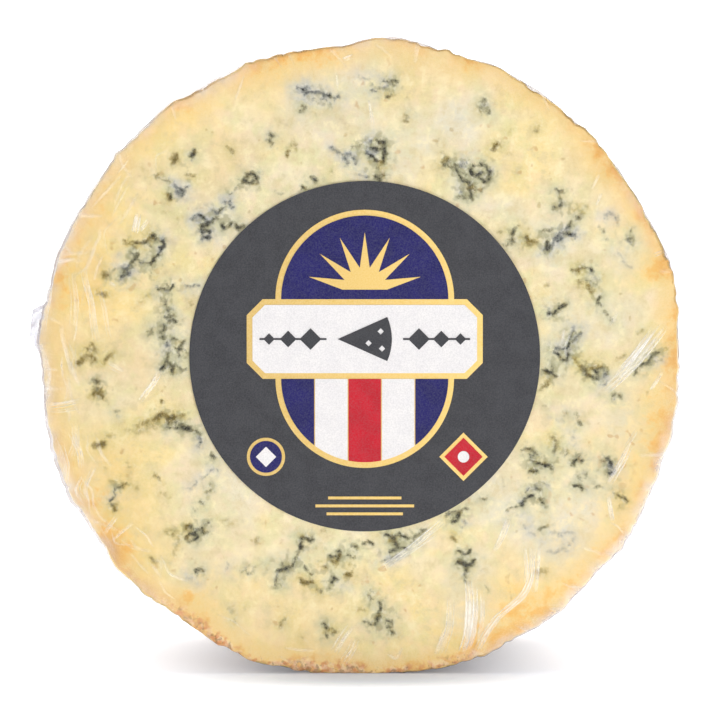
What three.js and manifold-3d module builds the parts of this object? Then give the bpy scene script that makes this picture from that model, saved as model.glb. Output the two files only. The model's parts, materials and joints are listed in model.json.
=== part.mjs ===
// Half a wheel of blue cheese, cut straight across and sealed in clear shrink film, with a round paper label
// stuck to the cut face.
//
// Millimetres, +Z up. The half wheel stands on its rim with its own axis along Y, and the cut face looks
// towards -Y. The origin is the middle of the small flat that its weight presses into the rim.
//
// The film lies on the cheese everywhere, so cheese and film are one solid out to the film. The trimmed seam of
// the film runs round the side as a low ridge, and one untrimmed ear of it stands out on the -X side.

import * as THREE from "three";
import { mergeVertices } from "three/addons/utils/BufferGeometryUtils.js";
import Module from "manifold-3d";

// --- Driving dimensions ----------------------------------------------------------------------------------------

const WHEEL_RADIUS = 100;
const WHEEL_DEPTH = 120;
const FOOT_PRESS = 0.8; // how far its own weight flattens the rim
const CUT_EDGE_ROUND = 3; // the cut edge, softened by the tight film
const CRUST_EDGE_ROUND = 14; // the cheese's old edge, at the back

const SEAM_FROM_FACE = 13; // the film's seam, measured back from the cut face
const SEAM_HEIGHT = 0.9;
const SEAM_HALF_WIDTH = 1.6;

const EAR_AT = 175; // degrees round the rim from +X towards +Z, as every angle here
const EAR_HALF_ANGLE = 4.8; // degrees
const EAR_REACH = 4.6;
const EAR_THICKNESS = 0.9;
const EAR_WAVE = 0.8;

const LABEL_RADIUS = 55;
const LABEL_RIGHT = 1.3; // the label is stuck on a little off centre
const LABEL_UP = 0.7;
const PAPER = 0.3;
const PRINT = 0.08; // each printed or foiled layer
const GLUE = 0.05; // clearance between the film and the paper, and between layers
const FLAT_RADIUS = 59; // the part of the cut face that the label keeps flat

// Where the rim stands out (+) or lies back (-): [angle, millimetres, spread in degrees].
const SWELLS = [
  [14, 1.2, 9],
  [43, 0.7, 5],
  [54, 0.4, 3],
  [66, 1.1, 6],
  [83, 1.2, 5],
  [95, -2.3, 5],
  [105, -1.5, 5],
  [119, -2.5, 9],
  [132, -0.5, 5],
  [149, -0.5, 6],
  [164, 0.5, 4],
  [176, 1.8, 6],
  [189, 0.7, 4],
  [202, 1.8, 8],
  [222, 0.7, 7],
  [236, -0.6, 4],
  [250, 1.2, 6],
  [292, 1.2, 9],
  [308, 1.6, 8],
  [323, 1.2, 5],
  [349, 0.6, 6],
];

const CRAG_WAVES = 30;
const CRAG_LONGEST = 80;
const CRAG_SHORTEST = 17;
const CRAG_HEIGHT = 0.85; // usual height of the crags on the rind
const FACE_HEIGHT = 0.2; // and on the cut face outside the label
const CRAG_RUN = 45; // distance from the cut face over which they reach full height
const FOOT_CALM = 24; // degrees each side of the foot over which they fade out

const STEPS_AROUND = 112;
const FACE_STEP = 7.5; // row spacings of the mesh
const SIDE_STEP = 7;
const BACK_STEP = 7.5;

const CENTRE_Z = WHEEL_RADIUS - FOOT_PRESS;
const FACE_Y = -WHEEL_DEPTH / 2;
const SEAM_Y = FACE_Y + SEAM_FROM_FACE;
const GOLDEN_ANGLE = Math.PI * (3 - Math.sqrt(5));

const radians = THREE.MathUtils.degToRad;

// --- Solids ----------------------------------------------------------------------------------------------------

const wasm = await Module();
wasm.setup();

function toSolid(geometry) {
  const bare = geometry.clone();
  bare.deleteAttribute("normal");
  bare.deleteAttribute("uv");
  const merged = mergeVertices(bare, 1e-4);
  return new wasm.Manifold(
    new wasm.Mesh({
      numProp: 3,
      vertProperties: new Float32Array(merged.attributes.position.array),
      triVerts: new Uint32Array(merged.index.array),
    }),
  );
}

function toGeometry(solid) {
  const mesh = solid.getMesh();
  const geometry = new THREE.BufferGeometry();
  geometry.setAttribute("position", new THREE.BufferAttribute(new Float32Array(mesh.vertProperties), 3));
  geometry.setIndex(new THREE.BufferAttribute(new Uint32Array(mesh.triVerts), 1));
  geometry.computeVertexNormals();
  return geometry;
}

// --- The wheel -------------------------------------------------------------------------------------------------

// How far round the rim two angles are apart, in degrees, from 0 to 180.
function apart(a, b) {
  const turn = Math.abs(a - b) % 360;
  return Math.min(turn, 360 - turn);
}

function swellAt(angle) {
  return SWELLS.reduce((sum, [at, height, spread]) => sum + height * Math.exp(-((apart(angle, at) / spread) ** 2)), 0);
}

// A sum of plane waves, long ones taller, in directions spread evenly over a sphere: lumps that look alike from
// any side. The usual height of the sum is 1.
function crags(point) {
  let height = 0;
  let power = 0;
  for (let k = 0; k < CRAG_WAVES; k++) {
    const share = ((k * 11) % CRAG_WAVES) / (CRAG_WAVES - 1);
    const wavelength = CRAG_LONGEST * (CRAG_SHORTEST / CRAG_LONGEST) ** share;
    const weight = Math.sqrt(wavelength);
    const rise = 1 - (2 * k + 1) / CRAG_WAVES;
    const level = Math.sqrt(1 - rise * rise);
    const turn = k * GOLDEN_ANGLE;
    const along = point.x * level * Math.cos(turn) + point.y * level * Math.sin(turn) + point.z * rise;
    height += weight * Math.cos((2 * Math.PI * along) / wavelength + k * k);
    power += (weight * weight) / 2;
  }
  return height / Math.sqrt(power);
}

function evenSteps(from, to, step) {
  const count = Math.max(1, Math.round(Math.abs(to - from) / step));
  return Array.from({ length: count }, (_, i) => from + ((to - from) * i) / count);
}

// The wheel's outline in the half plane, from the middle of the cut face round to the middle of the back.
// Each row has its radius, its place along Y, which way it faces, and how craggy it is.
function profileRows() {
  const rows = [];
  const faceEnd = WHEEL_RADIUS - CUT_EDGE_ROUND;
  const backEnd = WHEEL_RADIUS - CRUST_EDGE_ROUND;
  const sideStart = FACE_Y + CUT_EDGE_ROUND;
  const sideEnd = -FACE_Y - CRUST_EDGE_ROUND;
  const cutTurns = 3;
  const crustTurns = 5;

  for (const radius of [0, FLAT_RADIUS / 2, FLAT_RADIUS, ...evenSteps(FLAT_RADIUS, faceEnd, FACE_STEP).slice(1)]) {
    rows.push({ radius, y: FACE_Y, outward: 0, forward: -1, crag: radius > FLAT_RADIUS ? FACE_HEIGHT : 0 });
  }
  for (let i = 0; i < cutTurns; i++) {
    const turn = ((i / cutTurns) * Math.PI) / 2;
    rows.push({
      radius: faceEnd + CUT_EDGE_ROUND * Math.sin(turn),
      y: sideStart - CUT_EDGE_ROUND * Math.cos(turn),
      outward: Math.sin(turn),
      forward: -Math.cos(turn),
      crag: FACE_HEIGHT,
    });
  }
  const side = [
    ...evenSteps(sideStart, SEAM_Y - SEAM_HALF_WIDTH, SIDE_STEP),
    SEAM_Y - SEAM_HALF_WIDTH,
    SEAM_Y,
    ...evenSteps(SEAM_Y + SEAM_HALF_WIDTH, sideEnd, SIDE_STEP),
  ];
  for (const y of side) {
    const raised = y === SEAM_Y ? SEAM_HEIGHT : 0;
    const crag = FACE_HEIGHT + (CRAG_HEIGHT - FACE_HEIGHT) * Math.min(1, (y - FACE_Y) / CRAG_RUN);
    rows.push({ radius: WHEEL_RADIUS + raised, y, outward: 1, forward: 0, crag });
  }
  for (let i = 0; i <= crustTurns; i++) {
    const turn = ((i / crustTurns) * Math.PI) / 2;
    rows.push({
      radius: backEnd + CRUST_EDGE_ROUND * Math.cos(turn),
      y: sideEnd + CRUST_EDGE_ROUND * Math.sin(turn),
      outward: Math.cos(turn),
      forward: Math.sin(turn),
      crag: CRAG_HEIGHT,
    });
  }
  for (const radius of [...evenSteps(backEnd, 0, BACK_STEP).slice(1), 0]) {
    rows.push({ radius, y: -FACE_Y, outward: 0, forward: 1, crag: CRAG_HEIGHT });
  }
  return rows;
}

// A point of the wheel's skin, on one row and at one angle.
function skinPoint(row, angle) {
  const turn = radians(angle);
  const radius = row.radius * (1 + swellAt(angle) / WHEEL_RADIUS);
  const point = new THREE.Vector3(radius * Math.cos(turn), row.y, CENTRE_Z + radius * Math.sin(turn));
  const facing = new THREE.Vector3(row.outward * Math.cos(turn), row.forward, row.outward * Math.sin(turn));
  const calm = 1 - row.outward * Math.exp(-((apart(angle, 270) / FOOT_CALM) ** 2));
  return point.addScaledVector(facing, row.crag * calm * crags(point));
}

function wheelGeometry() {
  const rows = profileRows();
  const positions = [];
  const faces = [];
  const rings = rows.map((row) => {
    const first = positions.length / 3;
    const count = row.radius === 0 ? 1 : STEPS_AROUND;
    for (let i = 0; i < count; i++) positions.push(...skinPoint(row, (i * 360) / STEPS_AROUND).toArray());
    return { first, count };
  });
  for (let r = 0; r + 1 < rings.length; r++) {
    const [near, far] = [rings[r], rings[r + 1]];
    for (let i = 0; i < STEPS_AROUND; i++) {
      const next = (i + 1) % STEPS_AROUND;
      const a = near.first + (near.count === 1 ? 0 : i);
      const b = near.first + (near.count === 1 ? 0 : next);
      const c = far.first + (far.count === 1 ? 0 : i);
      const d = far.first + (far.count === 1 ? 0 : next);
      if (far.count > 1) faces.push(a, c, d);
      if (near.count > 1) faces.push(a, d, b);
    }
  }
  const geometry = new THREE.BufferGeometry();
  geometry.setAttribute("position", new THREE.Float32BufferAttribute(positions, 3));
  geometry.setIndex(faces);
  return geometry;
}

// The untrimmed ear of film: a thin wavy flap in the plane of the seam, its foot sunk in the wheel.
function earGeometry() {
  const stepsAlong = 16;
  const stepsOut = 4;
  const sunk = 3;
  const root = 0.4; // how far even its ends stand out
  const fullest = 0.3; // where along it the ear reaches farthest
  const rounded = (share) =>
    share < fullest
      ? Math.sin(((share / fullest) * Math.PI) / 2)
      : Math.cos((((share - fullest) / (1 - fullest)) * Math.PI) / 2);
  const positions = [];
  const faces = [];
  const index = (side, i, j) => side * (stepsAlong + 1) * (stepsOut + 1) + i * (stepsOut + 1) + j;
  for (const side of [-1, 1]) {
    for (let i = 0; i <= stepsAlong; i++) {
      const share = i / stepsAlong;
      const turn = radians(EAR_AT - EAR_HALF_ANGLE + 2 * EAR_HALF_ANGLE * share);
      const reach = sunk + root + EAR_REACH * Math.max(0, rounded(share));
      for (let j = 0; j <= stepsOut; j++) {
        const out = (reach * j) / stepsOut;
        const radius = WHEEL_RADIUS - sunk + out;
        const wave = EAR_WAVE * Math.sin(share * 3 * Math.PI) * (j / stepsOut);
        const y = SEAM_Y + wave + (side * EAR_THICKNESS) / 2;
        positions.push(radius * Math.cos(turn), y, CENTRE_Z + radius * Math.sin(turn));
      }
    }
  }
  const quad = (a, b, c, d) => faces.push(a, b, c, a, c, d);
  for (let i = 0; i < stepsAlong; i++) {
    for (let j = 0; j < stepsOut; j++) {
      quad(index(0, i, j), index(0, i, j + 1), index(0, i + 1, j + 1), index(0, i + 1, j));
      quad(index(1, i, j), index(1, i + 1, j), index(1, i + 1, j + 1), index(1, i, j + 1));
    }
    quad(index(0, i, 0), index(0, i + 1, 0), index(1, i + 1, 0), index(1, i, 0));
    quad(index(0, i, stepsOut), index(1, i, stepsOut), index(1, i + 1, stepsOut), index(0, i + 1, stepsOut));
  }
  for (let j = 0; j < stepsOut; j++) {
    quad(index(0, 0, j), index(1, 0, j), index(1, 0, j + 1), index(0, 0, j + 1));
    quad(index(0, stepsAlong, j), index(0, stepsAlong, j + 1), index(1, stepsAlong, j + 1), index(1, stepsAlong, j));
  }
  const geometry = new THREE.BufferGeometry();
  geometry.setAttribute("position", new THREE.Float32BufferAttribute(positions, 3));
  geometry.setIndex(faces);
  return geometry;
}

// Wheel and ear in one, with the foot pressed flat at Z = 0.
function wrappedCheese() {
  const slab = new THREE.BoxGeometry(2 * WHEEL_RADIUS, 2 * WHEEL_DEPTH, WHEEL_RADIUS);
  slab.translate(0, 0, -WHEEL_RADIUS / 2);
  const whole = toSolid(wheelGeometry()).add(toSolid(earGeometry()));
  return toGeometry(whole.subtract(toSolid(slab)));
}

// --- The label -------------------------------------------------------------------------------------------------

// The label's shapes are drawn flat, in millimetres from its middle, with x to the right and y up.

const PLAQUE = { width: 74, height: 25, corner: 5, up: 5.5 };
const ARCH_RADIUS = 28;
const BORDER = 1.8;
const STRIPES = 5;
const RAYS = 7;
const RULES = 3;
const BEADS = [
  [17, 3.4],
  [24, 2.6],
  [30, 1.8],
];

const TOP = PLAQUE.up + PLAQUE.height / 2;
const BOTTOM = PLAQUE.up - PLAQUE.height / 2;

function polygon(points) {
  return new THREE.Shape(points.map(([x, y]) => new THREE.Vector2(x, y)));
}

function disc(radius, x = 0, y = 0) {
  return new THREE.Shape().absarc(x, y, radius, 0, 2 * Math.PI, false);
}

function lozenge(half, x, y) {
  return polygon([[x + half, y], [x, y + half], [x - half, y], [x, y - half]]);
}

// The plaque with its corners cut off, smaller all round by a border.
function plaqueShape(border) {
  const x = PLAQUE.width / 2 - border;
  const [top, bottom] = [TOP - border, BOTTOM + border];
  const corner = PLAQUE.corner - border * 0.6;
  return polygon([
    [-x, bottom + corner],
    [-x + corner, bottom],
    [x - corner, bottom],
    [x, bottom + corner],
    [x, top - corner],
    [x - corner, top],
    [-x + corner, top],
    [-x, top - corner],
  ]);
}

// The gold plate behind it all: the plaque, a half disc above it and another below.
function emblemShape() {
  const x = PLAQUE.width / 2;
  const shape = new THREE.Shape();
  shape.moveTo(x, BOTTOM + PLAQUE.corner);
  shape.lineTo(x, TOP - PLAQUE.corner);
  shape.lineTo(x - PLAQUE.corner, TOP);
  shape.absarc(0, TOP, ARCH_RADIUS, 0, Math.PI, false);
  shape.lineTo(-x + PLAQUE.corner, TOP);
  shape.lineTo(-x, TOP - PLAQUE.corner);
  shape.lineTo(-x, BOTTOM + PLAQUE.corner);
  shape.lineTo(-x + PLAQUE.corner, BOTTOM);
  shape.absarc(0, BOTTOM, ARCH_RADIUS, Math.PI, 2 * Math.PI, false);
  shape.lineTo(x - PLAQUE.corner, BOTTOM);
  shape.closePath();
  return shape;
}

function archShape() {
  return new THREE.Shape().absarc(0, TOP, ARCH_RADIUS - BORDER, 0, Math.PI, false);
}

// One upright stripe of the half disc under the plaque, cut to its round edge.
function stripeShape(number) {
  const radius = ARCH_RADIUS - BORDER;
  const width = (2 * radius) / STRIPES;
  const gap = 0.15;
  const left = number === 0 ? -radius : -radius + number * width + gap;
  const right = number === STRIPES - 1 ? radius : -radius + (number + 1) * width - gap;
  const shape = new THREE.Shape();
  shape.absarc(0, BOTTOM, radius, -Math.acos(left / radius), -Math.acos(right / radius), false);
  if (right < radius) shape.lineTo(right, BOTTOM);
  if (left > -radius) shape.lineTo(left, BOTTOM);
  shape.closePath();
  return shape;
}

// A rising sun: a half disc whose edge runs out into pointed rays.
function sunShape() {
  const core = 7;
  const tip = 18;
  const base = TOP + 3;
  const points = [[core, base]];
  for (let i = 0; i < RAYS; i++) {
    const middle = ((i + 0.5) * Math.PI) / RAYS;
    const end = ((i + 1) * Math.PI) / RAYS;
    points.push([tip * Math.cos(middle), base + tip * Math.sin(middle)]);
    points.push([core * Math.cos(end), base + core * Math.sin(end)]);
  }
  return polygon(points);
}

// A slice of round cheese seen from above, its point to the left, with three lozenges cut out of it.
function sliceShape() {
  const radius = 17;
  const half = radians(24);
  const left = -radius / 2;
  const shape = new THREE.Shape().absarc(left, PLAQUE.up, radius, -half, half, false);
  shape.lineTo(left, PLAQUE.up);
  shape.closePath();
  for (const [x, y] of [[5, 2.4], [1.2, -1.3], [5.4, -3]]) shape.holes.push(lozenge(1, x, PLAQUE.up + y));
  return shape;
}

// Lozenge beads of falling size on a thin stem, to the right (1) or the left (-1) of the slice.
function beadsShape(side) {
  const stem = 0.3;
  const upper = BEADS.flatMap(([x, half]) => [[x - half + stem, stem], [x, half], [x + half - stem, stem]]);
  const lower = upper.map(([x, y]) => [x, -y]).reverse();
  const outline = [[BEADS[0][0] - 5, stem], ...upper, [33, stem], [33, -stem], ...lower, [BEADS[0][0] - 5, -stem]];
  const turned = side > 0 ? [...outline].reverse() : outline;
  return polygon(turned.map(([x, y]) => [side * x, PLAQUE.up + y]));
}

function ruleShape(number) {
  const half = [11.5, 15.5, 12][number];
  const y = -44 - 2.5 * number;
  const height = 0.9;
  return polygon([[-half, y - height], [half, y - height], [half, y], [-half, y]]);
}

// --- The object ------------------------------------------------------------------------------------------------

const CHEESE = new THREE.MeshStandardMaterial({ color: 0xeedfb2, roughness: 0.35, metalness: 0 });
const CHARCOAL = new THREE.MeshStandardMaterial({ color: 0x4b4b4e, roughness: 0.55, metalness: 0 });
const GOLD = new THREE.MeshStandardMaterial({ color: 0xd8ae5c, roughness: 0.35, metalness: 0.6 });
const NAVY = new THREE.MeshStandardMaterial({ color: 0x262560, roughness: 0.5, metalness: 0 });
const WHITE = new THREE.MeshStandardMaterial({ color: 0xf1eeea, roughness: 0.55, metalness: 0 });
const RED = new THREE.MeshStandardMaterial({ color: 0xc02033, roughness: 0.5, metalness: 0 });

const root = new THREE.Group();

const cheese = new THREE.Mesh(wrappedCheese(), CHEESE);
cheese.name = "wrapped_cheese";
root.add(cheese);

// The label lies on the cut face. In its own frame +Z is out of the cheese.
const label = new THREE.Group();
label.position.set(LABEL_RIGHT, FACE_Y, CENTRE_Z + LABEL_UP);
label.rotation.x = Math.PI / 2;
root.add(label);

// Layer 0 is the paper, and each printed layer lies on the one before.
function lay(name, shape, layer, material) {
  const thickness = layer === 0 ? PAPER : PRINT;
  const curveSegments = layer === 0 ? 96 : 24;
  const geometry = new THREE.ExtrudeGeometry(shape, { depth: thickness, bevelEnabled: false, curveSegments });
  const mesh = new THREE.Mesh(geometry, material);
  mesh.name = name;
  mesh.position.z = layer === 0 ? GLUE : 2 * GLUE + PAPER + (layer - 1) * (PRINT + GLUE);
  label.add(mesh);
}

const BADGE_X = 31;
const BADGE_Y = -31.5;
const STRIPE_COLOURS = [NAVY, WHITE, RED, WHITE, NAVY];

lay("label_paper", disc(LABEL_RADIUS), 0, CHARCOAL);
lay("label_gold_plate", emblemShape(), 1, GOLD);
lay("label_white_plaque", plaqueShape(BORDER), 2, WHITE);
lay("label_navy_arch", archShape(), 2, NAVY);
STRIPE_COLOURS.forEach((material, i) => lay(`label_stripe_${i + 1}`, stripeShape(i), 2, material));
lay("label_sun", sunShape(), 3, GOLD);
lay("label_slice", sliceShape(), 3, CHARCOAL);
lay("label_beads_left", beadsShape(-1), 3, CHARCOAL);
lay("label_beads_right", beadsShape(1), 3, CHARCOAL);
lay("label_left_badge_rim", disc(6, -BADGE_X, BADGE_Y), 1, GOLD);
lay("label_left_badge_field", disc(5, -BADGE_X, BADGE_Y), 2, NAVY);
lay("label_left_badge_lozenge", lozenge(3.2, -BADGE_X, BADGE_Y), 3, WHITE);
lay("label_right_badge_rim", lozenge(7.6, BADGE_X, BADGE_Y), 1, GOLD);
lay("label_right_badge_field", lozenge(6, BADGE_X, BADGE_Y), 2, RED);
lay("label_right_badge_dot", disc(1.8, BADGE_X, BADGE_Y), 3, WHITE);
for (let i = 0; i < RULES; i++) lay(`label_rule_${i + 1}`, ruleShape(i), 1, GOLD);

export default root;
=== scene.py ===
# %% [markdown]
# # Half a wheel of blue cheese, sealed in film, with a round label
# A creamery cuts a tall drum of cheese in two across its axis, seals each half in clear film and sticks a
# round label to the cut. Here the half wheel stands on its rim. The solids of the model come first, because
# every piece below is fitted to them.

# %% load the model's solids
import json
import math

import bpy
import numpy as np
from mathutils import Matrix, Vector


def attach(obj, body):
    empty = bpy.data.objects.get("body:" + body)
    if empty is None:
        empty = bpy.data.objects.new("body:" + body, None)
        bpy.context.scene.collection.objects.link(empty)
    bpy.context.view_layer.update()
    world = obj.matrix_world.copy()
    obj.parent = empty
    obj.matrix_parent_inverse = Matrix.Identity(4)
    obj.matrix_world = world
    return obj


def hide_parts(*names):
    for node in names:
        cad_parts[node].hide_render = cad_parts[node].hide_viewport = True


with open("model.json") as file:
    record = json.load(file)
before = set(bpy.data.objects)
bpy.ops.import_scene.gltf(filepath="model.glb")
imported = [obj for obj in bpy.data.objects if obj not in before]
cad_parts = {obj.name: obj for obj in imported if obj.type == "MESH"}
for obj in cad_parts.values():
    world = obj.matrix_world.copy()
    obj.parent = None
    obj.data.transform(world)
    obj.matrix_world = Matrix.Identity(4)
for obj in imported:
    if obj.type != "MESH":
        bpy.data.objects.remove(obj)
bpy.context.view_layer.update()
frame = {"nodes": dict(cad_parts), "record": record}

MM = 0.001
bpy.ops.object.select_all(action="DESELECT")
print("solids:", len(frame["nodes"]))

# %% [markdown]
# ## The shape of the wheel
# Film and rind follow the same lumpy drum as the solid does: a round that swells and sinks a little, plus low
# crags that grow from the smooth cut towards the back. The sizes are the solid's own, in millimetres.

# %% sizes of the drum
WHEEL_RADIUS = 100
FOOT_PRESS = 0.8
FACE_Y = -60
BACK_Y = 60
CENTRE_Z = WHEEL_RADIUS - FOOT_PRESS
CUT_ROUND = 1.2
CRUST_ROUND = 14
CUT_EDGE = WHEEL_RADIUS - CUT_ROUND
SEAM_Y = FACE_Y + 13
LABEL_AT = (1.3, CENTRE_Z + 0.7)  # x and z
LABEL_RADIUS = 55
FLAT_RADIUS = 59  # the label lies inside this, so the cut is level there
FLAT_FADE = 7
FACE_CRAG, CRAG = 0.2, 0.85  # height of the crags on the cut, and further back
CRAG_START, CRAG_GROWS = 3, 45  # millimetres behind the cut
FOOT_AT, FOOT_CALM = 270, 24  # degrees: the foot is pressed smooth
BACK_START = BACK_Y - CRUST_ROUND
BACK_ARC = (WHEEL_RADIUS - CRUST_ROUND, BACK_START, CRUST_ROUND)  # the back edge: its middle and radius

# Where the rim stands out or lies back: angle from +X towards +Z, millimetres, spread in degrees.
SWELLS = [
    (14, 1.2, 9), (43, 0.7, 5), (54, 0.4, 3), (66, 1.1, 6), (83, 1.2, 5), (95, -2.3, 5), (105, -1.5, 5),
    (119, -2.5, 9), (132, -0.5, 5), (149, -0.5, 6), (164, 0.5, 4), (176, 1.8, 6), (189, 0.7, 4),
    (202, 1.8, 8), (222, 0.7, 7), (236, -0.6, 4), (250, 1.2, 6), (292, 1.2, 9), (308, 1.6, 8), (323, 1.2, 5),
    (349, 0.6, 6),
]  # fmt: skip


# %% angles round the rim
def apart(a, b):
    """Degrees between two directions round the rim."""
    turn = np.abs(a - b) % 360
    return np.minimum(turn, 360 - turn)


def round_the_rim(angle, places):
    """Sum of soft bumps, each given by its angle, its height and its spread in degrees."""
    return sum(height * np.exp(-((apart(angle, at) / spread) ** 2)) for at, height, spread in places)


def stretch(angle, at, half, power=4):
    """1 over a stretch of the rim and 0 beyond, given by its middle and half its width in degrees."""
    return np.exp(-((apart(angle, at) / half) ** power))


print("from 350 to 10 degrees:", apart(350, 10))


# %% the lumpy skin
def crags(points):
    """Lumps that look alike from every side: long and short waves in directions spread over a sphere."""
    waves, longest, shortest, stride = 30, 80, 17, 11
    golden = math.pi * (3 - math.sqrt(5))
    height, power = np.zeros(len(points)), 0.0
    for k in range(waves):
        length = longest * (shortest / longest) ** (((k * stride) % waves) / (waves - 1))
        rise = 1 - (2 * k + 1) / waves
        level = math.sqrt(1 - rise * rise)
        way = np.array([level * math.cos(k * golden), level * math.sin(k * golden), rise])
        height += math.sqrt(length) * np.cos(2 * math.pi * (points @ way) / length + k * k)
        power += length / 2
    return height / math.sqrt(power)


def skin(radius, y, angle, depth=0.0):
    """Points of the drum and the way its skin faces there. radius and y are places on the plain drum."""
    radius, y, angle = (np.asarray(v, float) for v in np.broadcast_arrays(radius, y, angle))
    turn = np.radians(angle)
    swell = round_the_rim(angle, SWELLS)
    out, forward = np.ones_like(radius), np.zeros_like(radius)
    for end, rounding, side in ((FACE_Y, CUT_ROUND, -1), (BACK_Y, CRUST_ROUND, 1)):
        past = (y - end) * side + rounding
        over = np.maximum(radius - (WHEEL_RADIUS - rounding), 0)
        length = np.hypot(past, over) + 1e-9
        there = past > 0
        out = np.where(there, over / length, out)
        forward = np.where(there, side * past / length, forward)
    r = radius * (1 + swell / WHEEL_RADIUS)
    cos, sin = np.cos(turn), np.sin(turn)
    points = np.stack([r * cos, y, CENTRE_Z + r * sin], -1)
    facing = np.stack([out * cos, forward, out * sin], -1)
    start = FACE_Y + CRAG_START
    crag = FACE_CRAG + (CRAG - FACE_CRAG) * np.clip((y - start) / CRAG_GROWS, 0, 1)
    level = FACE_CRAG * np.clip((radius - FLAT_RADIUS) / FLAT_FADE, 0, 1)
    crag = np.where((y < start) & (radius < FLAT_RADIUS + FLAT_FADE), level, crag)
    calm = 1 - out * stretch(angle, FOOT_AT, FOOT_CALM, 2)
    shape = points.shape
    lift = (crag * calm).reshape(-1) * crags(points.reshape(-1, 3))
    points = points + facing * (lift.reshape(shape[:-1]) - depth)[..., None]
    return points, facing


print("rim at the ear:", skin(WHEEL_RADIUS, SEAM_Y, 175)[0].round(1))


# %% random lumps
def lumps(points, size, seed):
    """Soft random lumps of about that size, between -1 and 1."""
    cells = 32
    values = np.random.default_rng(seed).uniform(-1, 1, (cells, cells, cells))
    where = points / size
    base = np.floor(where)
    part = where - base
    part = part * part * (3 - 2 * part)
    base = base.astype(int)
    total = np.zeros(len(points))
    for corner in np.ndindex(2, 2, 2):
        weight = np.prod(np.where(np.array(corner) == 1, part, 1 - part), axis=1)
        total += weight * values[tuple(((base + corner) % cells).T)]
    return total


def wobble(points, size, seed, reach):
    """Shifts in x and z of about reach millimetres, that make what is listed crooked."""
    flat = points * (1, 0, 1)
    return np.stack([lumps(flat, size, seed), lumps(flat, size, seed + 1)], 1) * reach


def on_face(points):
    """x and z from the middle of the wheel."""
    return points[:, [0, 2]] - (0, CENTRE_Z)


print("two points of one lump:", lumps(np.array([[10.0, 0, 0], [10.5, 0, 0]]), 5, 1).round(2))

# %% [markdown]
# ## Turning a profile round
# A drum is a turned form, so its pieces start as on a lathe: one vertex is drawn out along a profile and the
# line is spun round the wheel's axis. Afterwards each vertex knows its row and its angle, and is moved to
# where the lumpy drum has it.


# %% read, place and mark vertices
def vertices(piece):
    """The vertices of a piece, in millimetres."""
    flat = np.empty(len(piece.data.vertices) * 3, np.float32)
    piece.data.vertices.foreach_get("co", flat)
    return flat.reshape(-1, 3).astype(float) / MM


def place(piece, points):
    """Moves the vertices of a piece to points in millimetres and shades it smooth."""
    piece.data.vertices.foreach_set("co", (points * MM).astype(np.float32).ravel())
    piece.data.polygons.foreach_set("use_smooth", np.ones(len(piece.data.polygons), bool))
    piece.data.update()


def mark(piece, name, columns):
    """Stores up to four values a vertex, each 0 to 1, for a material to read."""
    table = np.zeros((len(piece.data.vertices), 4), np.float32)
    for i, column in enumerate(columns):
        table[:, i] = column
    layer = piece.data.attributes.new(name, "FLOAT_COLOR", "POINT")
    layer.data.foreach_set("color", table.ravel())


# %% start from a grid or spin a profile
def grid(name, across, deep, size, place_at=(0, 0, 0)):
    """A flat grid, with its size in metres."""
    bpy.ops.object.select_all(action="DESELECT")
    bpy.ops.mesh.primitive_grid_add(x_subdivisions=across, y_subdivisions=deep, size=size, location=place_at)
    piece = bpy.context.active_object
    piece.name = piece.data.name = name
    return piece


def spun(name, rows, steps):
    """A piece turned from rows of (radius, y) in millimetres, and the row and angle of each vertex."""
    bpy.ops.object.select_all(action="DESELECT")
    bpy.ops.mesh.primitive_plane_add(size=MM, location=(0, 0, 0))
    piece = bpy.context.active_object
    piece.name = piece.data.name = name
    bpy.ops.object.mode_set(mode="EDIT")
    bpy.ops.mesh.merge(type="CENTER")
    places = [Vector((r * MM, y * MM, CENTRE_Z * MM)) for r, y in rows]
    bpy.ops.transform.translate(value=places[0])
    for before, after in zip(places, places[1:]):
        bpy.ops.mesh.extrude_region_move(TRANSFORM_OT_translate={"value": after - before})
    bpy.ops.mesh.select_all(action="SELECT")
    bpy.ops.mesh.spin(steps=steps, angle=2 * math.pi, center=(0, 0, CENTRE_Z * MM), axis=(0, 1, 0))
    bpy.ops.mesh.select_all(action="SELECT")
    bpy.ops.mesh.remove_doubles(threshold=0.004 * MM)
    bpy.ops.mesh.normals_make_consistent(inside=False)
    bpy.ops.object.mode_set(mode="OBJECT")
    points = vertices(piece)
    radius = np.hypot(points[:, 0], points[:, 2] - CENTRE_Z)
    angle = np.degrees(np.arctan2(points[:, 2] - CENTRE_Z, points[:, 0])) % 360
    table = np.array(rows)
    row = np.zeros(len(points), int)
    for part in np.array_split(np.arange(len(points)), 40):  # in parts, to save memory
        gap = np.hypot(radius[part, None] - table[:, 0], points[part, 1, None] - table[:, 1])
        row[part] = gap.argmin(axis=1)
    print(f"{name}: {len(points)} vertices, {len(piece.data.polygons)} faces")
    return piece, row, angle


# %% points of a profile
def arc(radius, y, size, start, end, count):
    """Points on a rounded edge. 0 degrees looks out along the radius, 90 to the back, -90 to the front."""
    turns = [math.radians(start + (end - start) * i / (count - 1)) for i in range(count)]
    return [(radius + size * math.cos(t), y + size * math.sin(t)) for t in turns]


def line(start, end, step):
    """Points from start on, at even steps, without the end point."""
    count = max(1, round(math.dist(start, end) / step))
    return [tuple(a + (b - a) * i / count for a, b in zip(start, end)) for i in range(count)]


print("a quarter of the back edge:", [(round(r), round(y)) for r, y in arc(*BACK_ARC, 0, 90, 3)])

# %% [markdown]
# ## Writing materials as sums
# A finish is mostly arithmetic on masks, so a small class lets a node's output be added, multiplied and
# compared like a number. Any other node comes from its one method, `node`.


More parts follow.
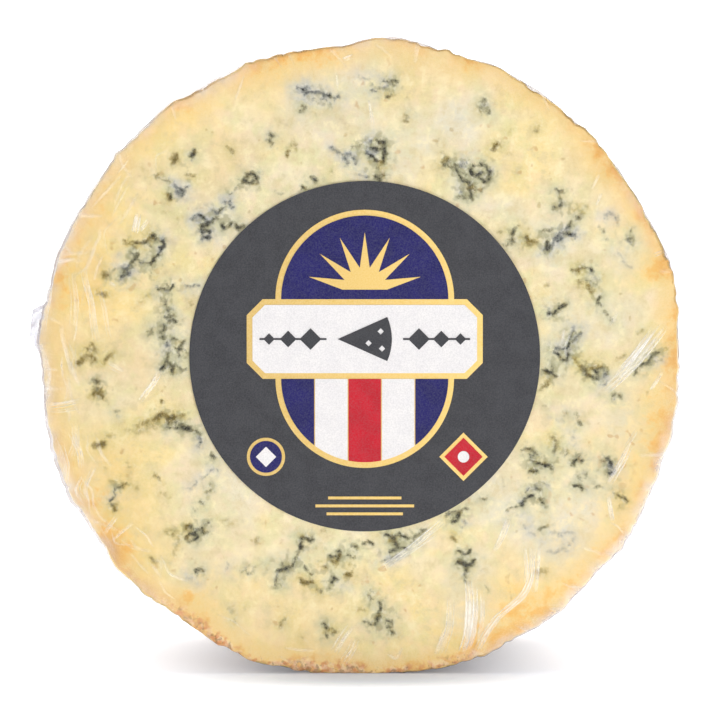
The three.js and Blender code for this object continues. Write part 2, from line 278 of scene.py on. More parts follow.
# %% the wire class
class Wire:
    """An output of a shader node. Arithmetic on wires adds Math nodes to their tree."""

    def __init__(self, tree, socket=None):
        self.tree, self.socket = tree, socket

    def node(self, kind, settings=None, inputs=None, out=0):
        new = self.tree.nodes.new("ShaderNode" + kind)
        for key, value in (settings or {}).items():
            setattr(new, key, value)
        for key, value in (inputs or {}).items():
            socket = new.inputs[key]
            if isinstance(value, Wire):
                self.tree.links.new(value.socket, socket)
            else:
                socket.default_value = value
        return Wire(self.tree, new.outputs[out])

    def maths(self, operation, *values, clamp=False):
        inputs = dict(enumerate(values))
        return self.node("Math", {"operation": operation, "use_clamp": clamp}, inputs)

    def __add__(self, other):
        return self.maths("ADD", self, other)

    __radd__ = __add__

    def __mul__(self, other):
        return self.maths("MULTIPLY", self, other)

    __rmul__ = __mul__

    def __sub__(self, other):
        return self.maths("SUBTRACT", self, other)

    def __rsub__(self, other):
        return self.maths("SUBTRACT", other, self)

    def __truediv__(self, other):
        return self.maths("DIVIDE", self, other)

    def size(self):
        return self.maths("ABSOLUTE", self)

    def clamped(self):
        return self.maths("ADD", self, 0.0, clamp=True)

    def step(self, low, high):
        """0 below low, 1 above high, and a smooth ramp between, for low above high too."""
        inputs = {"Value": self, "From Min": low, "From Max": high}
        return self.node("MapRange", {"interpolation_type": "SMOOTHSTEP"}, inputs)

    def pick(self, low, high):
        """The colour low where this is 0 and high where it is 1."""
        inputs = {0: self, 6: low, 7: high}
        return self.node("Mix", {"data_type": "RGBA"}, inputs, out=2)


# %% colours and finishes
def colour(red, green, blue):
    """A screen colour, 0 to 255, as the linear colour that a shader takes."""
    def linear(value):
        value = value / 255
        return value / 12.92 if value <= 0.04045 else ((value + 0.055) / 1.055) ** 2.4

    return (linear(red), linear(green), linear(blue), 1.0)


def finish(name):
    """A new material: itself, a wire to start from, its shader node and the object's own coordinates."""
    material = bpy.data.materials.new(name)
    material.use_nodes = True
    tree = material.node_tree
    shader = tree.nodes["Principled BSDF"]
    start = Wire(tree)
    return material, start, shader, start.node("TexCoord", out="Object")


def feed(shader, name, wire):
    wire.tree.links.new(wire.socket, shader.inputs[name])


def noise(spot, size, detail=2.0, rough=0.5):
    """Random mottling whose patches are about size millimetres across."""
    inputs = {"Vector": spot, "Scale": 1000 / (2 * size), "Detail": detail, "Roughness": rough}
    return spot.node("TexNoise", None, inputs)


print("a mid grey in linear light:", round(colour(128, 128, 128)[0], 3))


# %% coats, patches and relief
def coated(base, *coats):
    """A colour with coats laid over it in turn, each a mask and a colour."""
    for mask, tint in coats:
        base = mask.pick(base, tint)
    return base


def patchy(mask, by, base, swing):
    """A mask broken up by a noise: base strong on the whole, and more or less by half of swing."""
    return (mask * (base + (by - 0.5) * swing)).clamped()


def fix(shader, values):
    """Sets the inputs of a shader that stay the same all over."""
    for name, value in values.items():
        shader.inputs[name].default_value = value


def bump(height, shader, depth, strength=1.0):
    """Feeds a relief of so many millimetres into a shader's normal."""
    inputs = {"Height": height, "Strength": strength, "Distance": depth * MM}
    feed(shader, "Normal", height.node("Bump", None, inputs))


# %% [markdown]
# ## Where the blue runs
# The blue grows along cracks and needle holes, so it shows as short crooked strokes in loose nets, with
# olive smudges where it is still young. A net like that has a history that no noise has, so its strokes are
# listed one by one: kind, width, strength, and points (x, z) in millimetres from the middle of the wheel.

# %% strokes of blue
DARK, BLUE, OLIVE = 0.5, 0.0, 1.0
STROKES = [
    (OLIVE, 1.6, 0.9, (-58.3, 63.5, -58.7, 61.6)), (DARK, 1.5, 1.0, (-52.0, 65, -53.2, 63.2)),
    (OLIVE, 1.1, 0.6, (-54.5, 58.2, -52.2, 56.8)), (OLIVE, 0.9, 0.45, (-65.5, 57.6, -63, 57.5)),
    (DARK, 0.9, 0.6, (-63, 57.5, -61.5, 56, -60, 55.6)), (OLIVE, 1.0, 0.3, (-69.5, 57.5, -69, 57.4)),
    (BLUE, 1.1, 0.7, (-58.8, 54.6, -57.2, 53.2, -55.6, 52.6)),
    (BLUE, 1.2, 0.8, (-57.5, 52.5, -56, 51.5, -54.8, 53.6)), (OLIVE, 1.5, 0.95, (-60, 51.1, -59.8, 50.5)),
    (OLIVE, 1.3, 0.35, (-57, 43.8, -56.8, 42.2)), (OLIVE, 1.1, 0.3, (-62, 46, -61.2, 46)),
    (OLIVE, 1.2, 0.7, (-41.5, 66.6, -40.4, 64.9)),
    (DARK, 1.3, 0.85, (-36.8, 55.8, -35.5, 57, -34.3, 58.6, -33, 57.6, -32.3, 55.6)),
    (DARK, 1.3, 0.85, (-35.8, 55.7, -34.2, 55.3, -33, 56.8)),
    (DARK, 0.9, 0.5, (-37, 55.5, -39, 53.2, -41, 51.5)),
    (BLUE, 1.0, 0.75, (-41, 49.3, -42.5, 47.8, -43.9, 46.8, -44.5, 45.6, -46.2, 46.3)),
    (BLUE, 1.0, 0.7, (-42.5, 48.9, -40.3, 47.4)),
    (BLUE, 1.2, 0.8, (-52.5, 43.5, -51, 45, -49, 44.2, -48, 42.6, -50, 41.8)),
    (DARK, 1.2, 0.9, (-50, 41.8, -48.3, 42, -46.3, 43.5)), (DARK, 1.1, 0.7, (-44.4, 44.3, -45.2, 43.9)),
    (BLUE, 1.3, 0.95, (-49.8, 42, -49.8, 39.5, -49.4, 37.8, -47.5, 38.2, -47.3, 39.6, -48.6, 40.3)),
    (DARK, 1.2, 0.9, (-43.5, 42.2, -43, 40.8, -41.8, 41.2, -40.5, 42.3)),
    (DARK, 1.2, 0.9, (-39, 41.8, -38.3, 40.5, -37, 41.6)),
    (OLIVE, 0.9, 0.6, (-74, 36.8, -72.5, 36, -71, 35)),
    (OLIVE, 1.1, 0.8, (-71, 36.6, -68.5, 36.6, -66.5, 37.4, -65, 38.6)),
    (DARK, 1.2, 0.9, (-65, 38.6, -64.6, 37.2)), (DARK, 0.9, 0.55, (-67, 36.4, -66, 35)),
    (BLUE, 1.1, 0.85, (-63, 36.6, -61.7, 37, -61.8, 35.4, -63.3, 34.8)),
    (DARK, 1.2, 0.9, (-62.8, 34, -64, 32, -65, 31.2)),
    (DARK, 0.8, 0.8, (-64.4, 30.9, -66, 30.3, -68.5, 30.2, -70, 31)),
    (DARK, 1.1, 0.8, (-70.2, 33, -70.6, 31.6, -71.8, 30, -73, 28.3)), (BLUE, 1.2, 0.6, (-72, 33, -71, 31.8)),
    (BLUE, 1.5, 0.9, (-74.3, 28.3, -73.5, 27, -72.3, 28.2)), (DARK, 1.4, 0.95, (-73, 26.8, -74.8, 25.8)),
    (DARK, 0.9, 0.65, (-65.6, 30, -65.2, 28)), (OLIVE, 0.9, 0.35, (-65.2, 28, -66, 26)),
    (BLUE, 0.8, 0.4, (-77.8, 27, -76.6, 28.6)), (BLUE, 0.9, 0.35, (-77, 25, -75.4, 24.4)),
    (OLIVE, 1.7, 0.8, (-80.3, 26.7, -80, 26)), (OLIVE, 1.2, 0.8, (-82.5, 20.5, -80, 20)),
    (OLIVE, 0.7, 0.45, (-68.8, 17.6, -67, 20)),
    (DARK, 1.1, 0.85, (-63.5, 22, -61.5, 22, -60, 21.6, -58.8, 23)),
    (DARK, 0.9, 0.7, (-60.8, 24, -60.3, 21)),
    (DARK, 1.0, 0.75, (-63, 19.4, -61.4, 18, -60.8, 16.3, -60.2, 14.8)),
    (DARK, 1.1, 0.8, (-61.5, 13.5, -60.2, 12.4, -58.6, 12.2, -57.6, 11.6)),
    (BLUE, 1.0, 0.7, (-60.3, 14.8, -60.2, 11.6)), (DARK, 0.9, 0.7, (-59.6, 13, -58.4, 13.7)),
    (DARK, 1.4, 0.8, (-62.5, 10.4, -61.2, 9.8, -62.6, 8, -61.8, 6.2)),
    (DARK, 0.9, 0.65, (-61.8, 6.2, -60, 5.6, -58.5, 6.1, -57, 5.7)),
    (DARK, 1.3, 0.8, (-65.6, 9, -65.6, 8.1, -66.7, 7.4)),
    (BLUE, 0.9, 0.6, (-55.2, 23.2, -54.2, 22.4, -52.5, 22.8, -51, 23)),
    (OLIVE, 1.1, 0.5, (-53.3, 17.6, -53.1, 17.2)),
    (DARK, 1.1, 0.85, (-55.5, 5.2, -56.5, 3.6, -57.4, 2.2, -56.8, 1.2)),
    (DARK, 0.9, 0.7, (-57.8, 3.2, -56, 3.2, -55, 2)),
    (BLUE, 1.3, 0.7, (-61, 5, -60.5, 2, -60.8, 0, -61.4, -1.2)),
    (DARK, 1.2, 0.95, (-61, -0.8, -61.6, -2, -62.8, -3.6)),
    (DARK, 1.0, 0.95, (-60.4, -1, -59.4, -2.2, -58.4, -3.4, -59.6, -4)),
    (DARK, 0.9, 0.6, (-59.3, -1.8, -57.6, -2.6, -56.4, -3.7, -54.5, -3)),
    (OLIVE, 1.5, 0.6, (-84.7, 4.2, -83.5, 3, -86, 3)),
    (OLIVE, 1.6, 0.75, (-88.8, -1.2, -87, 0.4, -85.5, 0.2, -84, -0.5)),
    (OLIVE, 1.3, 0.9, (-80.2, -0.6, -79, 0.4, -78.7, 1)), (DARK, 1.6, 0.85, (-83.6, -6.9, -82.6, -7.6)),
    (OLIVE, 1.4, 0.9, (-82.5, -9.6, -82.2, -11, -83.4, -11.2)),
    (OLIVE, 1.2, 0.8, (-82.2, -11, -81.2, -12.2)), (DARK, 1.2, 0.6, (-77.2, -16.3, -76, -17)),
    (OLIVE, 1.2, 0.3, (-70.7, -9.2, -70.3, -9.5)), (OLIVE, 1.0, 0.7, (-62.4, -13, -62.3, -13.4)),
    (OLIVE, 1.2, 0.6, (-70, -20.8, -68, -20.2, -66, -19.5, -64, -19)),
    (OLIVE, 1.3, 0.9, (-64, -19, -63, -17.5, -61.8, -17.2, -60.5, -18.8, -58.5, -18.5)),
    (OLIVE, 1.2, 0.65, (-58.5, -18.5, -56, -17.3)), (DARK, 1.2, 0.7, (-61, -18.8, -60.2, -20.3, -58, -20.2)),
    (OLIVE, 2.2, 0.35, (-73, -22.5, -70, -22.5, -66.5, -21.5, -64, -21.8)),
    (DARK, 2.2, 1.0, (-56, -21.4, -54.2, -22)),
    (DARK, 1.1, 0.75, (-61, -22, -58, -21.6, -53, -22.4, -51, -23.5)),
    (BLUE, 1.1, 0.6, (-51, -23.5, -50.5, -26, -50.8, -28)), (OLIVE, 1.6, 0.45, (-79.4, -24.6, -77.8, -24.2)),
    (OLIVE, 1.8, 0.85, (-83.2, -27.2, -81, -26.9)), (OLIVE, 1.0, 0.45, (-73.5, -32.8, -72.5, -34)),
    (OLIVE, 1.0, 0.4, (-80.5, -34.1, -80.1, -34.5)), (OLIVE, 1.0, 0.6, (-64.5, -36.8, -63.2, -38.3)),
    (OLIVE, 0.9, 0.85, (-75.8, -40.2, -73.4, -39.2)), (OLIVE, 0.9, 0.35, (-78.5, -38.8, -76, -40)),
    (BLUE, 1.1, 0.6, (-77, -41, -77.4, -43, -78.4, -44.8)), (OLIVE, 1.3, 0.8, (-77.9, -46.4, -77.5, -47.4)),
    (OLIVE, 1.0, 0.35, (-70, -40.2, -69.8, -40.8)), (OLIVE, 1.1, 0.45, (-62.2, -42.3, -61.5, -43)),
    (BLUE, 0.8, 0.4, (-55.3, -40.5, -52.6, -40.6, -51.4, -38.9)),
    (BLUE, 0.8, 0.45, (-50, -37.8, -48, -36.3, -46.5, -34.5, -45, -34.8)),
    (DARK, 1.0, 0.55, (-47.2, -39.6, -46.8, -40.2)), (DARK, 1.0, 0.55, (-48.4, -42.2, -46.6, -41)),
    (DARK, 1.4, 0.8, (-47, -30.3, -45.8, -31)), (DARK, 1.4, 0.7, (-50, -45.4, -49.5, -46)),
    (DARK, 1.0, 0.35, (-52.6, -46, -52.2, -48)), (OLIVE, 1.4, 0.8, (-54.9, -53, -53.8, -52.8)),
    (DARK, 1.1, 0.95,
     (-54.9, -56, -54, -55, -53, -55.3, -51.6, -55, -51.2, -56.4, -52.5, -57.3, -54, -57.2, -54.9, -56)),
    (DARK, 1.1, 0.9, (-51.2, -54.2, -50, -53.3, -49.6, -54.6, -48.6, -54.8)),
    (DARK, 1.1, 0.8, (-49.4, -52.2, -48, -51.8)), (DARK, 0.8, 0.6, (-52.6, -53.6, -52.2, -55)),
    (OLIVE, 2.4, 0.45, (-60.5, -54.6, -58.7, -54.8)), (OLIVE, 1.2, 0.4, (-57, -57, -58, -59, -59, -61.5)),
    (OLIVE, 1.2, 0.25, (-68, -53.3, -67.6, -53.3)), (OLIVE, 2.6, 0.35, (-43.2, -51.4, -41.6, -51.6)),
    (OLIVE, 1.2, 0.3, (-37.4, -50, -37.3, -51.6)), (OLIVE, 1.6, 0.55, (-32.6, -56.9, -32.6, -58)),
    (OLIVE, 1.1, 0.55, (-65.8, -63, -64.3, -64.4)), (OLIVE, 1.3, 0.3, (-60.2, -64.2, -60, -65)),
    (DARK, 1.3, 0.85, (-51.8, -67.4, -51.2, -66.5, -50.5, -66.5, -49.4, -67.2)),
    (BLUE, 1.5, 0.35, (-54.5, -69, -51, -70)), (BLUE, 0.9, 0.35, (-41.5, -64.5, -42.5, -67)),
    (DARK, 1.3, 0.5, (-36, -65.6, -36.4, -66.8, -37.2, -67)),
    (DARK, 1.1, 0.5, (-33.3, -65.4, -34, -67, -35.6, -68)), (DARK, 1.0, 0.35, (-29.6, -65.6, -29.4, -66.4)),
    (DARK, 1.8, 0.2, (-48.4, -74.2, -47.6, -75)), (DARK, 1.8, 0.3, (-41.2, -78.6, -40.2, -79.4)),
    (DARK, 1.1, 0.5, (-40.3, -82.2, -39.6, -82.8)), (OLIVE, 1.2, 0.3, (-36.7, -78.4, -36.3, -78.8)),
    (DARK, 1.5, 1.0, (-18.9, -59.3, -18.8, -57.5, -18.6, -56.4)),
    (DARK, 1.2, 0.95, (-18.6, -56.4, -17, -56.5, -15.8, -57.5, -15, -56.8)),
    (DARK, 0.9, 0.6, (-19.2, -60, -20.2, -62, -20.8, -63.6)),
    (DARK, 1.3, 0.9, (-20.8, -64, -22, -65.6, -23.5, -66)), (DARK, 1.5, 1.0, (-23.2, -66.2, -25.6, -66.7)),
    (DARK, 1.0, 0.8, (-24.6, -64.6, -24, -66)), (DARK, 0.9, 0.6, (-26, -67.5, -26.4, -69.4, -27, -71.8)),
    (DARK, 1.2, 0.65, (-25.3, -70.8, -24.7, -71.4)),
    (DARK, 1.1, 0.6, (-17.7, -65.4, -16.9, -66.8, -15.8, -67.8)),
    (OLIVE, 1.1, 0.95, (-18.6, -69.8, -17, -70.3, -15.6, -70.2)),
    (OLIVE, 1.4, 0.65, (-13.5, -73.2, -12.9, -73.5)), (OLIVE, 1.1, 0.4, (-12.2, -54, -11.4, -54)),
    (DARK, 1.2, 0.85, (-9.8, -61.8, -8.8, -62.6, -7.6, -62)),
    (DARK, 1.3, 0.95, (-6.9, -60.8, -6.7, -62.2, -7.4, -63.4)), (OLIVE, 1.4, 0.6, (-9.4, -63.6, -8, -64.2)),
    (DARK, 1.3, 0.85, (-2.6, -58.8, -1.4, -59.4)), (DARK, 1.1, 0.85, (1.3, -57.9, 2.6, -57.7, 4, -58.5)),
    (DARK, 1.0, 0.8, (-4, -62, -2.6, -62.6, -1.8, -62.5)), (OLIVE, 1.1, 0.5, (-11.8, -65.4, -11.2, -65.5)),
    (OLIVE, 1.1, 0.85, (-4.3, -68.2, -3, -68.5)), (OLIVE, 0.9, 0.35, (-3.1, -68, -3, -65)),
    (DARK, 1.4, 0.9, (-8.8, -69, -7.8, -69.6, -9, -70.6)), (DARK, 1.0, 0.6, (-9.2, -70.8, -9.9, -72)),
    (BLUE, 1.0, 0.3, (-7, -70.5, -4.5, -71.5)),
    (DARK, 1.2, 0.95, (8, -55, 10.4, -56.6, 11.4, -58.2, 12.2, -59.6, 14.4, -59.4)),
    (DARK, 1.6, 1.0, (10.2, -56.3, 10.6, -56.8)), (DARK, 1.5, 1.0, (11.2, -58.4, 11.8, -59.3)),
    (DARK, 1.0, 0.9, (10.6, -56.4, 12.4, -54.9, 14, -56.1)),
    (DARK, 0.9, 0.75, (14, -56.1, 16, -56.8, 18, -55.5, 20, -53.8)),
    (DARK, 0.9, 0.8, (9.2, -60.8, 11.2, -59.8)), (BLUE, 0.9, 0.7, (10, -63, 12.4, -61.5)),
    (BLUE, 0.8, 0.5, (5.8, -63.9, 8.4, -62.9)), (BLUE, 1.1, 0.4, (16, -57.6, 18.6, -57.4)),
    (DARK, 1.0, 0.7, (2.6, -74.4, 3.5, -75.8)), (DARK, 0.7, 0.35, (2.4, -71, 3, -72.6, 4, -74)),
    (OLIVE, 1.0, 0.25, (6.2, -74.3, 6.4, -74.8)), (DARK, 1.1, 0.85, (5.8, -77, 6.4, -79, 5.6, -81)),
    (DARK, 1.7, 1.0, (5.4, -81.4, 5, -82.2)), (DARK, 1.0, 0.8, (5, -82.8, 4.4, -84, 2.6, -83.9, 1, -83)),
    (DARK, 1.0, 0.75, (8, -82.4, 9.3, -83, 8.6, -84.2, 9.8, -84.4, 9.8, -82.8)),
    (DARK, 1.2, 0.7, (10, -85.8, 10.4, -86.4)), (DARK, 0.7, 0.3, (4.8, -85, 5, -88)),
    (OLIVE, 1.1, 0.45, (-1, -79.2, 0.6, -79)), (DARK, 1.0, 0.35, (10.8, -80.1, 11.2, -80.3)),
    (OLIVE, 1.0, 0.55, (-23.8, -82, -25, -84.5)), (OLIVE, 1.1, 0.45, (-18.6, -87.6, -18.2, -88)),
    (DARK, 1.5, 0.9, (-11.3, -83.4, -10.8, -84.8)), (DARK, 1.2, 0.8, (-10.7, -87, -10.5, -88)),
    (OLIVE, 1.5, 0.55, (-8.9, -85.8, -8, -86.3)), (OLIVE, 1.2, 0.25, (13.4, -72.2, 13.8, -72.4)),
    (OLIVE, 1.0, 0.25, (19, -71.2, 19.3, -71.4)),
    (DARK, 1.3, 0.7, (26.6, -49.2, 29, -48.4, 31, -47.9, 33.2, -47.3)),
    (DARK, 1.6, 1.0, (29.4, -51.2, 30.4, -50, 30.8, -49)), (OLIVE, 1.3, 0.7, (28.8, -56.6, 29.6, -57)),
    (BLUE, 1.6, 0.4, (32, -53, 33, -51.6)),
    (DARK, 0.9, 0.85, (31, -60.3, 32.4, -61.6, 34, -61.8, 34.3, -60.2)),
    (DARK, 1.5, 1.0, (30.8, -63.6, 32.5, -64.2, 33.4, -65.4)),
    (DARK, 1.2, 0.95, (33.4, -65.4, 35, -64.8, 35.8, -63.4)),
    (DARK, 1.1, 0.8, (32.9, -66, 32.9, -67.8, 32.6, -70)), (DARK, 0.9, 0.55, (39.3, -71.3, 40.2, -73.6)),
    (DARK, 0.9, 0.7, (37.3, -43.6, 39.6, -44.1)),
    (DARK, 1.0, 0.6, (45.6, -48, 46.5, -46.9, 48.3, -46.6, 50.6, -46.2)),
    (DARK, 1.2, 1.0, (50.8, -46, 51.6, -44.4, 52.6, -43.6, 54, -43.2)),
    (DARK, 0.9, 0.65, (52.2, -41.8, 53, -40.4)), (DARK, 1.0, 0.8, (55.4, -40.7, 56.4, -41.5)),
    (DARK, 1.1, 0.8, (56, -44, 57, -45, 57.8, -46.3)), (DARK, 0.9, 0.6, (57, -45, 57.8, -44)),
    (BLUE, 1.4, 0.4, (55, -39.8, 59, -39.8)), (DARK, 1.1, 0.85, (53.4, -30.2, 53.7, -31.6, 55, -32.8)),
    (DARK, 1.2, 0.95, (55.2, -33, 56.8, -33.2, 58, -33.4, 59.4, -33.2)),
    (DARK, 1.0, 0.8, (59.4, -33.2, 60.2, -34.8)), (DARK, 0.8, 0.6, (58, -31.6, 57.4, -33)),
    (DARK, 1.1, 0.85, (53.6, -35.3, 55.2, -35.2)), (DARK, 1.2, 0.95, (66.9, -32.7, 68, -31.7, 69.8, -32.4)),
    (DARK, 0.9, 0.8, (68, -31.8, 68.6, -30.2)), (DARK, 1.1, 1.0, (66.9, -40, 68.8, -39.8, 69.6, -40.6)),
    (DARK, 1.4, 0.5, (70.8, -36.2, 70.5, -37.2)), (BLUE, 1.1, 0.35, (68.6, -37.2, 69.4, -38.6)),
    (DARK, 1.0, 0.5, (73.8, -40.3, 75.4, -40)), (DARK, 1.3, 0.95, (76.6, -32.4, 77.8, -31.6, 78.6, -32.6)),
    (BLUE, 1.9, 0.85, (78.6, -33.4, 79, -34.6)), (DARK, 1.4, 0.95, (77.6, -35.8, 78.6, -36)),
    (DARK, 1.1, 0.65, (79.3, -41.8, 79.8, -42.2)),
    (OLIVE, 1.1, 0.75, (81.2, -42.8, 82.6, -43.8, 83.2, -44.6)),
    (OLIVE, 1.2, 0.5, (80.8, -46.1, 81.2, -46.6)), (BLUE, 1.3, 0.35, (51, -52.4, 51.8, -53.4)),
    (DARK, 1.2, 0.65, (56.6, -53.4, 58.3, -52.8)), (BLUE, 1.1, 0.35, (53, -54.5, 55.6, -55.8)),
    (BLUE, 1.0, 0.3, (46.4, -50.6, 47.2, -51.2)),
    (BLUE, 1.7, 0.38, (60.5, -55, 63, -55.4, 66, -54.4, 67.2, -56, 66, -58.5)),
    (BLUE, 1.7, 0.4, (59, -60.5, 61.5, -60.8, 64.4, -60.2)), (OLIVE, 1.9, 0.65, (56, -67.4, 58.2, -67)),
    (OLIVE, 1.1, 0.3, (44.6, -38, 45, -40)), (OLIVE, 1.5, 0.7, (67, 28, 69, 28.4)),
    (DARK, 1.1, 0.75, (69, 28.4, 71.8, 28.6, 72.2, 27.6)), (OLIVE, 1.2, 0.7, (68.4, 24.4, 68.8, 24)),
    (BLUE, 2.4, 0.4, (71.6, 24.4, 73, 23.8, 73.4, 25)), (OLIVE, 1.2, 0.75, (72, 21.3, 71.6, 22.8)),
    (OLIVE, 1.0, 0.4, (75.4, 25.4, 76, 26.2)), (DARK, 1.1, 0.8, (75.2, 19.5, 74.6, 18)),
    (DARK, 0.9, 0.6, (74.6, 18, 75.4, 16.4, 76.4, 14.4, 78, 12.6, 79.2, 11.4)),
    (OLIVE, 1.5, 0.45, (58, 23, 58.6, 23.4)), (DARK, 1.3, 1.0, (64, 17, 62.6, 16.2, 61.6, 14.6)),
    (DARK, 1.2, 0.85, (61.6, 15.2, 60.8, 13.8, 59.4, 14.6, 58.8, 14)), (BLUE, 1.2, 0.4, (58, 17, 58.8, 16)),
    (OLIVE, 1.0, 0.35, (55, 19.5, 55, 18.9)), (BLUE, 0.9, 0.7, (66.8, 9.6, 66.2, 8, 65.6, 6)),
    (DARK, 1.1, 0.9, (65.4, 5, 65, 3.5)), (DARK, 0.9, 0.8, (66.6, 9, 67.4, 8.6)),
    (BLUE, 0.9, 0.6, (69.4, 8.3, 68, 7.4, 66.4, 5.2)),
    (DARK, 1.0, 0.85, (60.2, 2.4, 61.6, 1.6, 62.6, 0.6, 63.8, -0.5)),
    (DARK, 1.2, 0.95, (63.4, -0.6, 64.8, -0.4, 65.1, 1.2)), (BLUE, 0.9, 0.7, (61, 3.4, 63, 2.6, 65.6, 2.8)),
    (OLIVE, 1.1, 0.45, (66.2, 0.8, 68, -1, 69.6, -2.6)), (OLIVE, 1.2, 0.9, (69.4, -2.2, 71, -4.2)),
    (DARK, 1.4, 1.0, (71.4, -4.8, 72.6, -5.7)), (DARK, 1.4, 0.85, (73, -3.2, 74.4, -4.2, 74.2, -6.2)),
    (OLIVE, 1.4, 0.75, (75.4, -2.4, 76.8, -3.2)), (BLUE, 1.3, 0.7, (76.8, -4.6, 76.3, -6.2)),
    (BLUE, 1.2, 0.5, (76.4, -8.6, 77.2, -7.6)), (OLIVE, 1.6, 0.4, (71.6, -1.6, 73.6, -2)),
    (DARK, 1.2, 1.0, (57.4, -3.6, 59, -4, 60.4, -4.2)), (DARK, 1.1, 0.9, (60.2, -4.2, 61.6, -5.7)),
    (DARK, 0.9, 0.6, (60, -1.6, 60.5, -3.4)), (OLIVE, 1.1, 0.6, (58.6, -7.8, 57.4, -9, 56.4, -9.4)),
    (OLIVE, 1.0, 0.35, (59.8, -6.4, 59.2, -6.9)), (DARK, 1.1, 0.6, (79.3, -11.4, 80.4, -10.8, 81.8, -12.2)),
    (DARK, 1.2, 0.5, (78.8, -13.4, 79.5, -13)), (DARK, 1.2, 0.5, (64, -17.6, 64.5, -17.1)),
    (DARK, 1.0, 0.4, (57.8, -15, 58.4, -14.5)), (BLUE, 0.9, 0.3, (60, -18.5, 62.4, -19.8)),
    (DARK, 1.1, 0.75, (68, -17.8, 68.4, -19.8, 69, -20.8)),
    (BLUE, 1.4, 0.35, (67, -21.5, 66.5, -24, 67.5, -26.5)), (DARK, 1.1, 0.5, (64.3, -28.8, 64.4, -30.2)),
    (OLIVE, 1.2, 0.55, (60.4, -24.8, 61.4, -27)), (DARK, 1.2, 0.75, (61.6, -26.8, 61, -29.2)),
    (DARK, 1.2, 0.75, (50.8, -28.8, 52, -28.4, 54, -28.7, 54.4, -30)), (DARK, 1.2, 0.85, (93, 2.1, 92, 1.6)),
    (DARK, 0.9, 0.7, (92, 1.6, 91, 0, 89.6, -1)), (DARK, 1.3, 0.9, (90.4, -1.3, 88.4, -1.7)),
    (DARK, 1.1, 0.7, (88.4, -1.7, 87, -3, 86, -4.8)), (BLUE, 0.9, 0.4, (91, -0.4, 93, -1, 95.4, 0.2)),
    (OLIVE, 1.1, 0.35, (95.6, 3.2, 96.4, 3.6)), (OLIVE, 1.0, 0.45, (81, 0.2, 83.6, 1)),
    (OLIVE, 1.2, 0.4, (86.6, 8, 88.8, 9)), (DARK, 1.8, 0.2, (87.2, 14.6, 88, 13.2)),
    (BLUE, 1.2, 0.35, (80.6, 33.4, 82.4, 30.5, 84.4, 28.5)), (DARK, 1.3, 0.8, (38.8, 80.8, 38.6, 79.4)),
    (DARK, 1.6, 0.55, (38.2, 78.6, 40.4, 77.4)), (OLIVE, 1.1, 0.5, (37.4, 78.2, 37.8, 77.4)),
    (OLIVE, 1.4, 0.6, (54.4, 71.6, 55.7, 72.2)), (OLIVE, 0.9, 0.3, (47.4, 72, 46, 70.8)),
    (OLIVE, 1.1, 0.9, (42.7, 67.2, 41.4, 65.6)), (OLIVE, 1.1, 0.4, (46, 64.1, 46.6, 64.3)),
    (BLUE, 1.0, 0.3, (30.4, 75.2, 29.6, 74.4)), (OLIVE, 1.5, 0.85, (26.8, 62.2, 26.7, 61.2)),
    (OLIVE, 1.2, 0.35, (25.6, 64.2, 26.4, 63)), (DARK, 1.1, 0.8, (27.4, 60.3, 29, 59.7)),
    (DARK, 1.1, 0.85, (29.8, 59.9, 30.8, 57.8, 31.8, 56, 33.6, 55.2)),
    (BLUE, 0.9, 0.7, (29.4, 60.8, 31, 60.4, 32.6, 61.3, 34.2, 61.4)),
    (DARK, 1.5, 1.0, (34.3, 59, 35.2, 57.9, 36.6, 57.4, 37.6, 58.2)),
    (DARK, 1.0, 0.85, (35.4, 60.6, 37.6, 61, 39.4, 60.2, 40.2, 58.6, 40.4, 56.8)),
    (DARK, 1.2, 0.95, (40.2, 56.4, 39, 55.8, 37.8, 56.6)), (DARK, 1.3, 0.95, (32.4, 55.6, 34, 55.2)),
    (BLUE, 0.9, 0.6, (31, 58.8, 32.4, 58)), (BLUE, 0.9, 0.6, (38.2, 59, 38.8, 57.8)),
    (DARK, 1.3, 0.9, (34.3, 54.4, 34.2, 53, 35, 51.4, 34.6, 50.2)),
    (DARK, 1.1, 0.8, (34.6, 52.6, 36, 53.4, 37.4, 52.7)), (DARK, 1.1, 0.75, (31, 51.2, 32.6, 50.4)),
    (BLUE, 0.9, 0.5, (31.4, 53.4, 32.6, 52)), (OLIVE, 2.2, 0.25, (50, 59.6, 48.6, 58)),
    (DARK, 1.2, 0.8, (61.5, 52.6, 63, 52.5)), (DARK, 1.1, 0.75, (62.6, 50.2, 62.8, 48.8)),
    (DARK, 1.1, 0.75, (60.4, 47.3, 62.2, 47.3, 63.2, 48.6)), (DARK, 1.4, 0.8, (69, 45, 68, 44.2)),
    (OLIVE, 1.1, 0.4, (66.3, 47, 67.4, 46.6)), (OLIVE, 1.3, 0.35, (70.6, 47.4, 71.4, 47.6)),
    (DARK, 1.2, 0.8, (66.2, 43.2, 65.4, 41.8, 64.4, 40.6)), (BLUE, 1.3, 0.9, (67, 38.7, 65, 39, 63.4, 39.4)),
    (BLUE, 1.1, 0.85, (63.4, 39.4, 62, 38.8, 61, 37.4, 60.6, 35.8, 59, 35.4)),
    (BLUE, 1.0, 0.7, (62.8, 37.6, 61.8, 36.6)), (DARK, 1.5, 1.0, (58.6, 36.4, 58.7, 34.9)),
    (DARK, 1.0, 0.75, (57, 40.4, 58.4, 40.8, 59.6, 40.4)), (BLUE, 1.0, 0.5, (57.4, 34, 58, 32.8)),
    (DARK, 1.3, 0.8, (47.9, 40.6, 47.3, 38.6, 47.5, 36.6)), (DARK, 1.3, 0.8, (47.5, 36.6, 46, 35.8)),
    (OLIVE, 1.1, 0.5, (47.9, 40.6, 49, 41.6)), (OLIVE, 1.1, 0.9, (52, 37.7, 52.7, 36.1, 53.6, 36.6)),
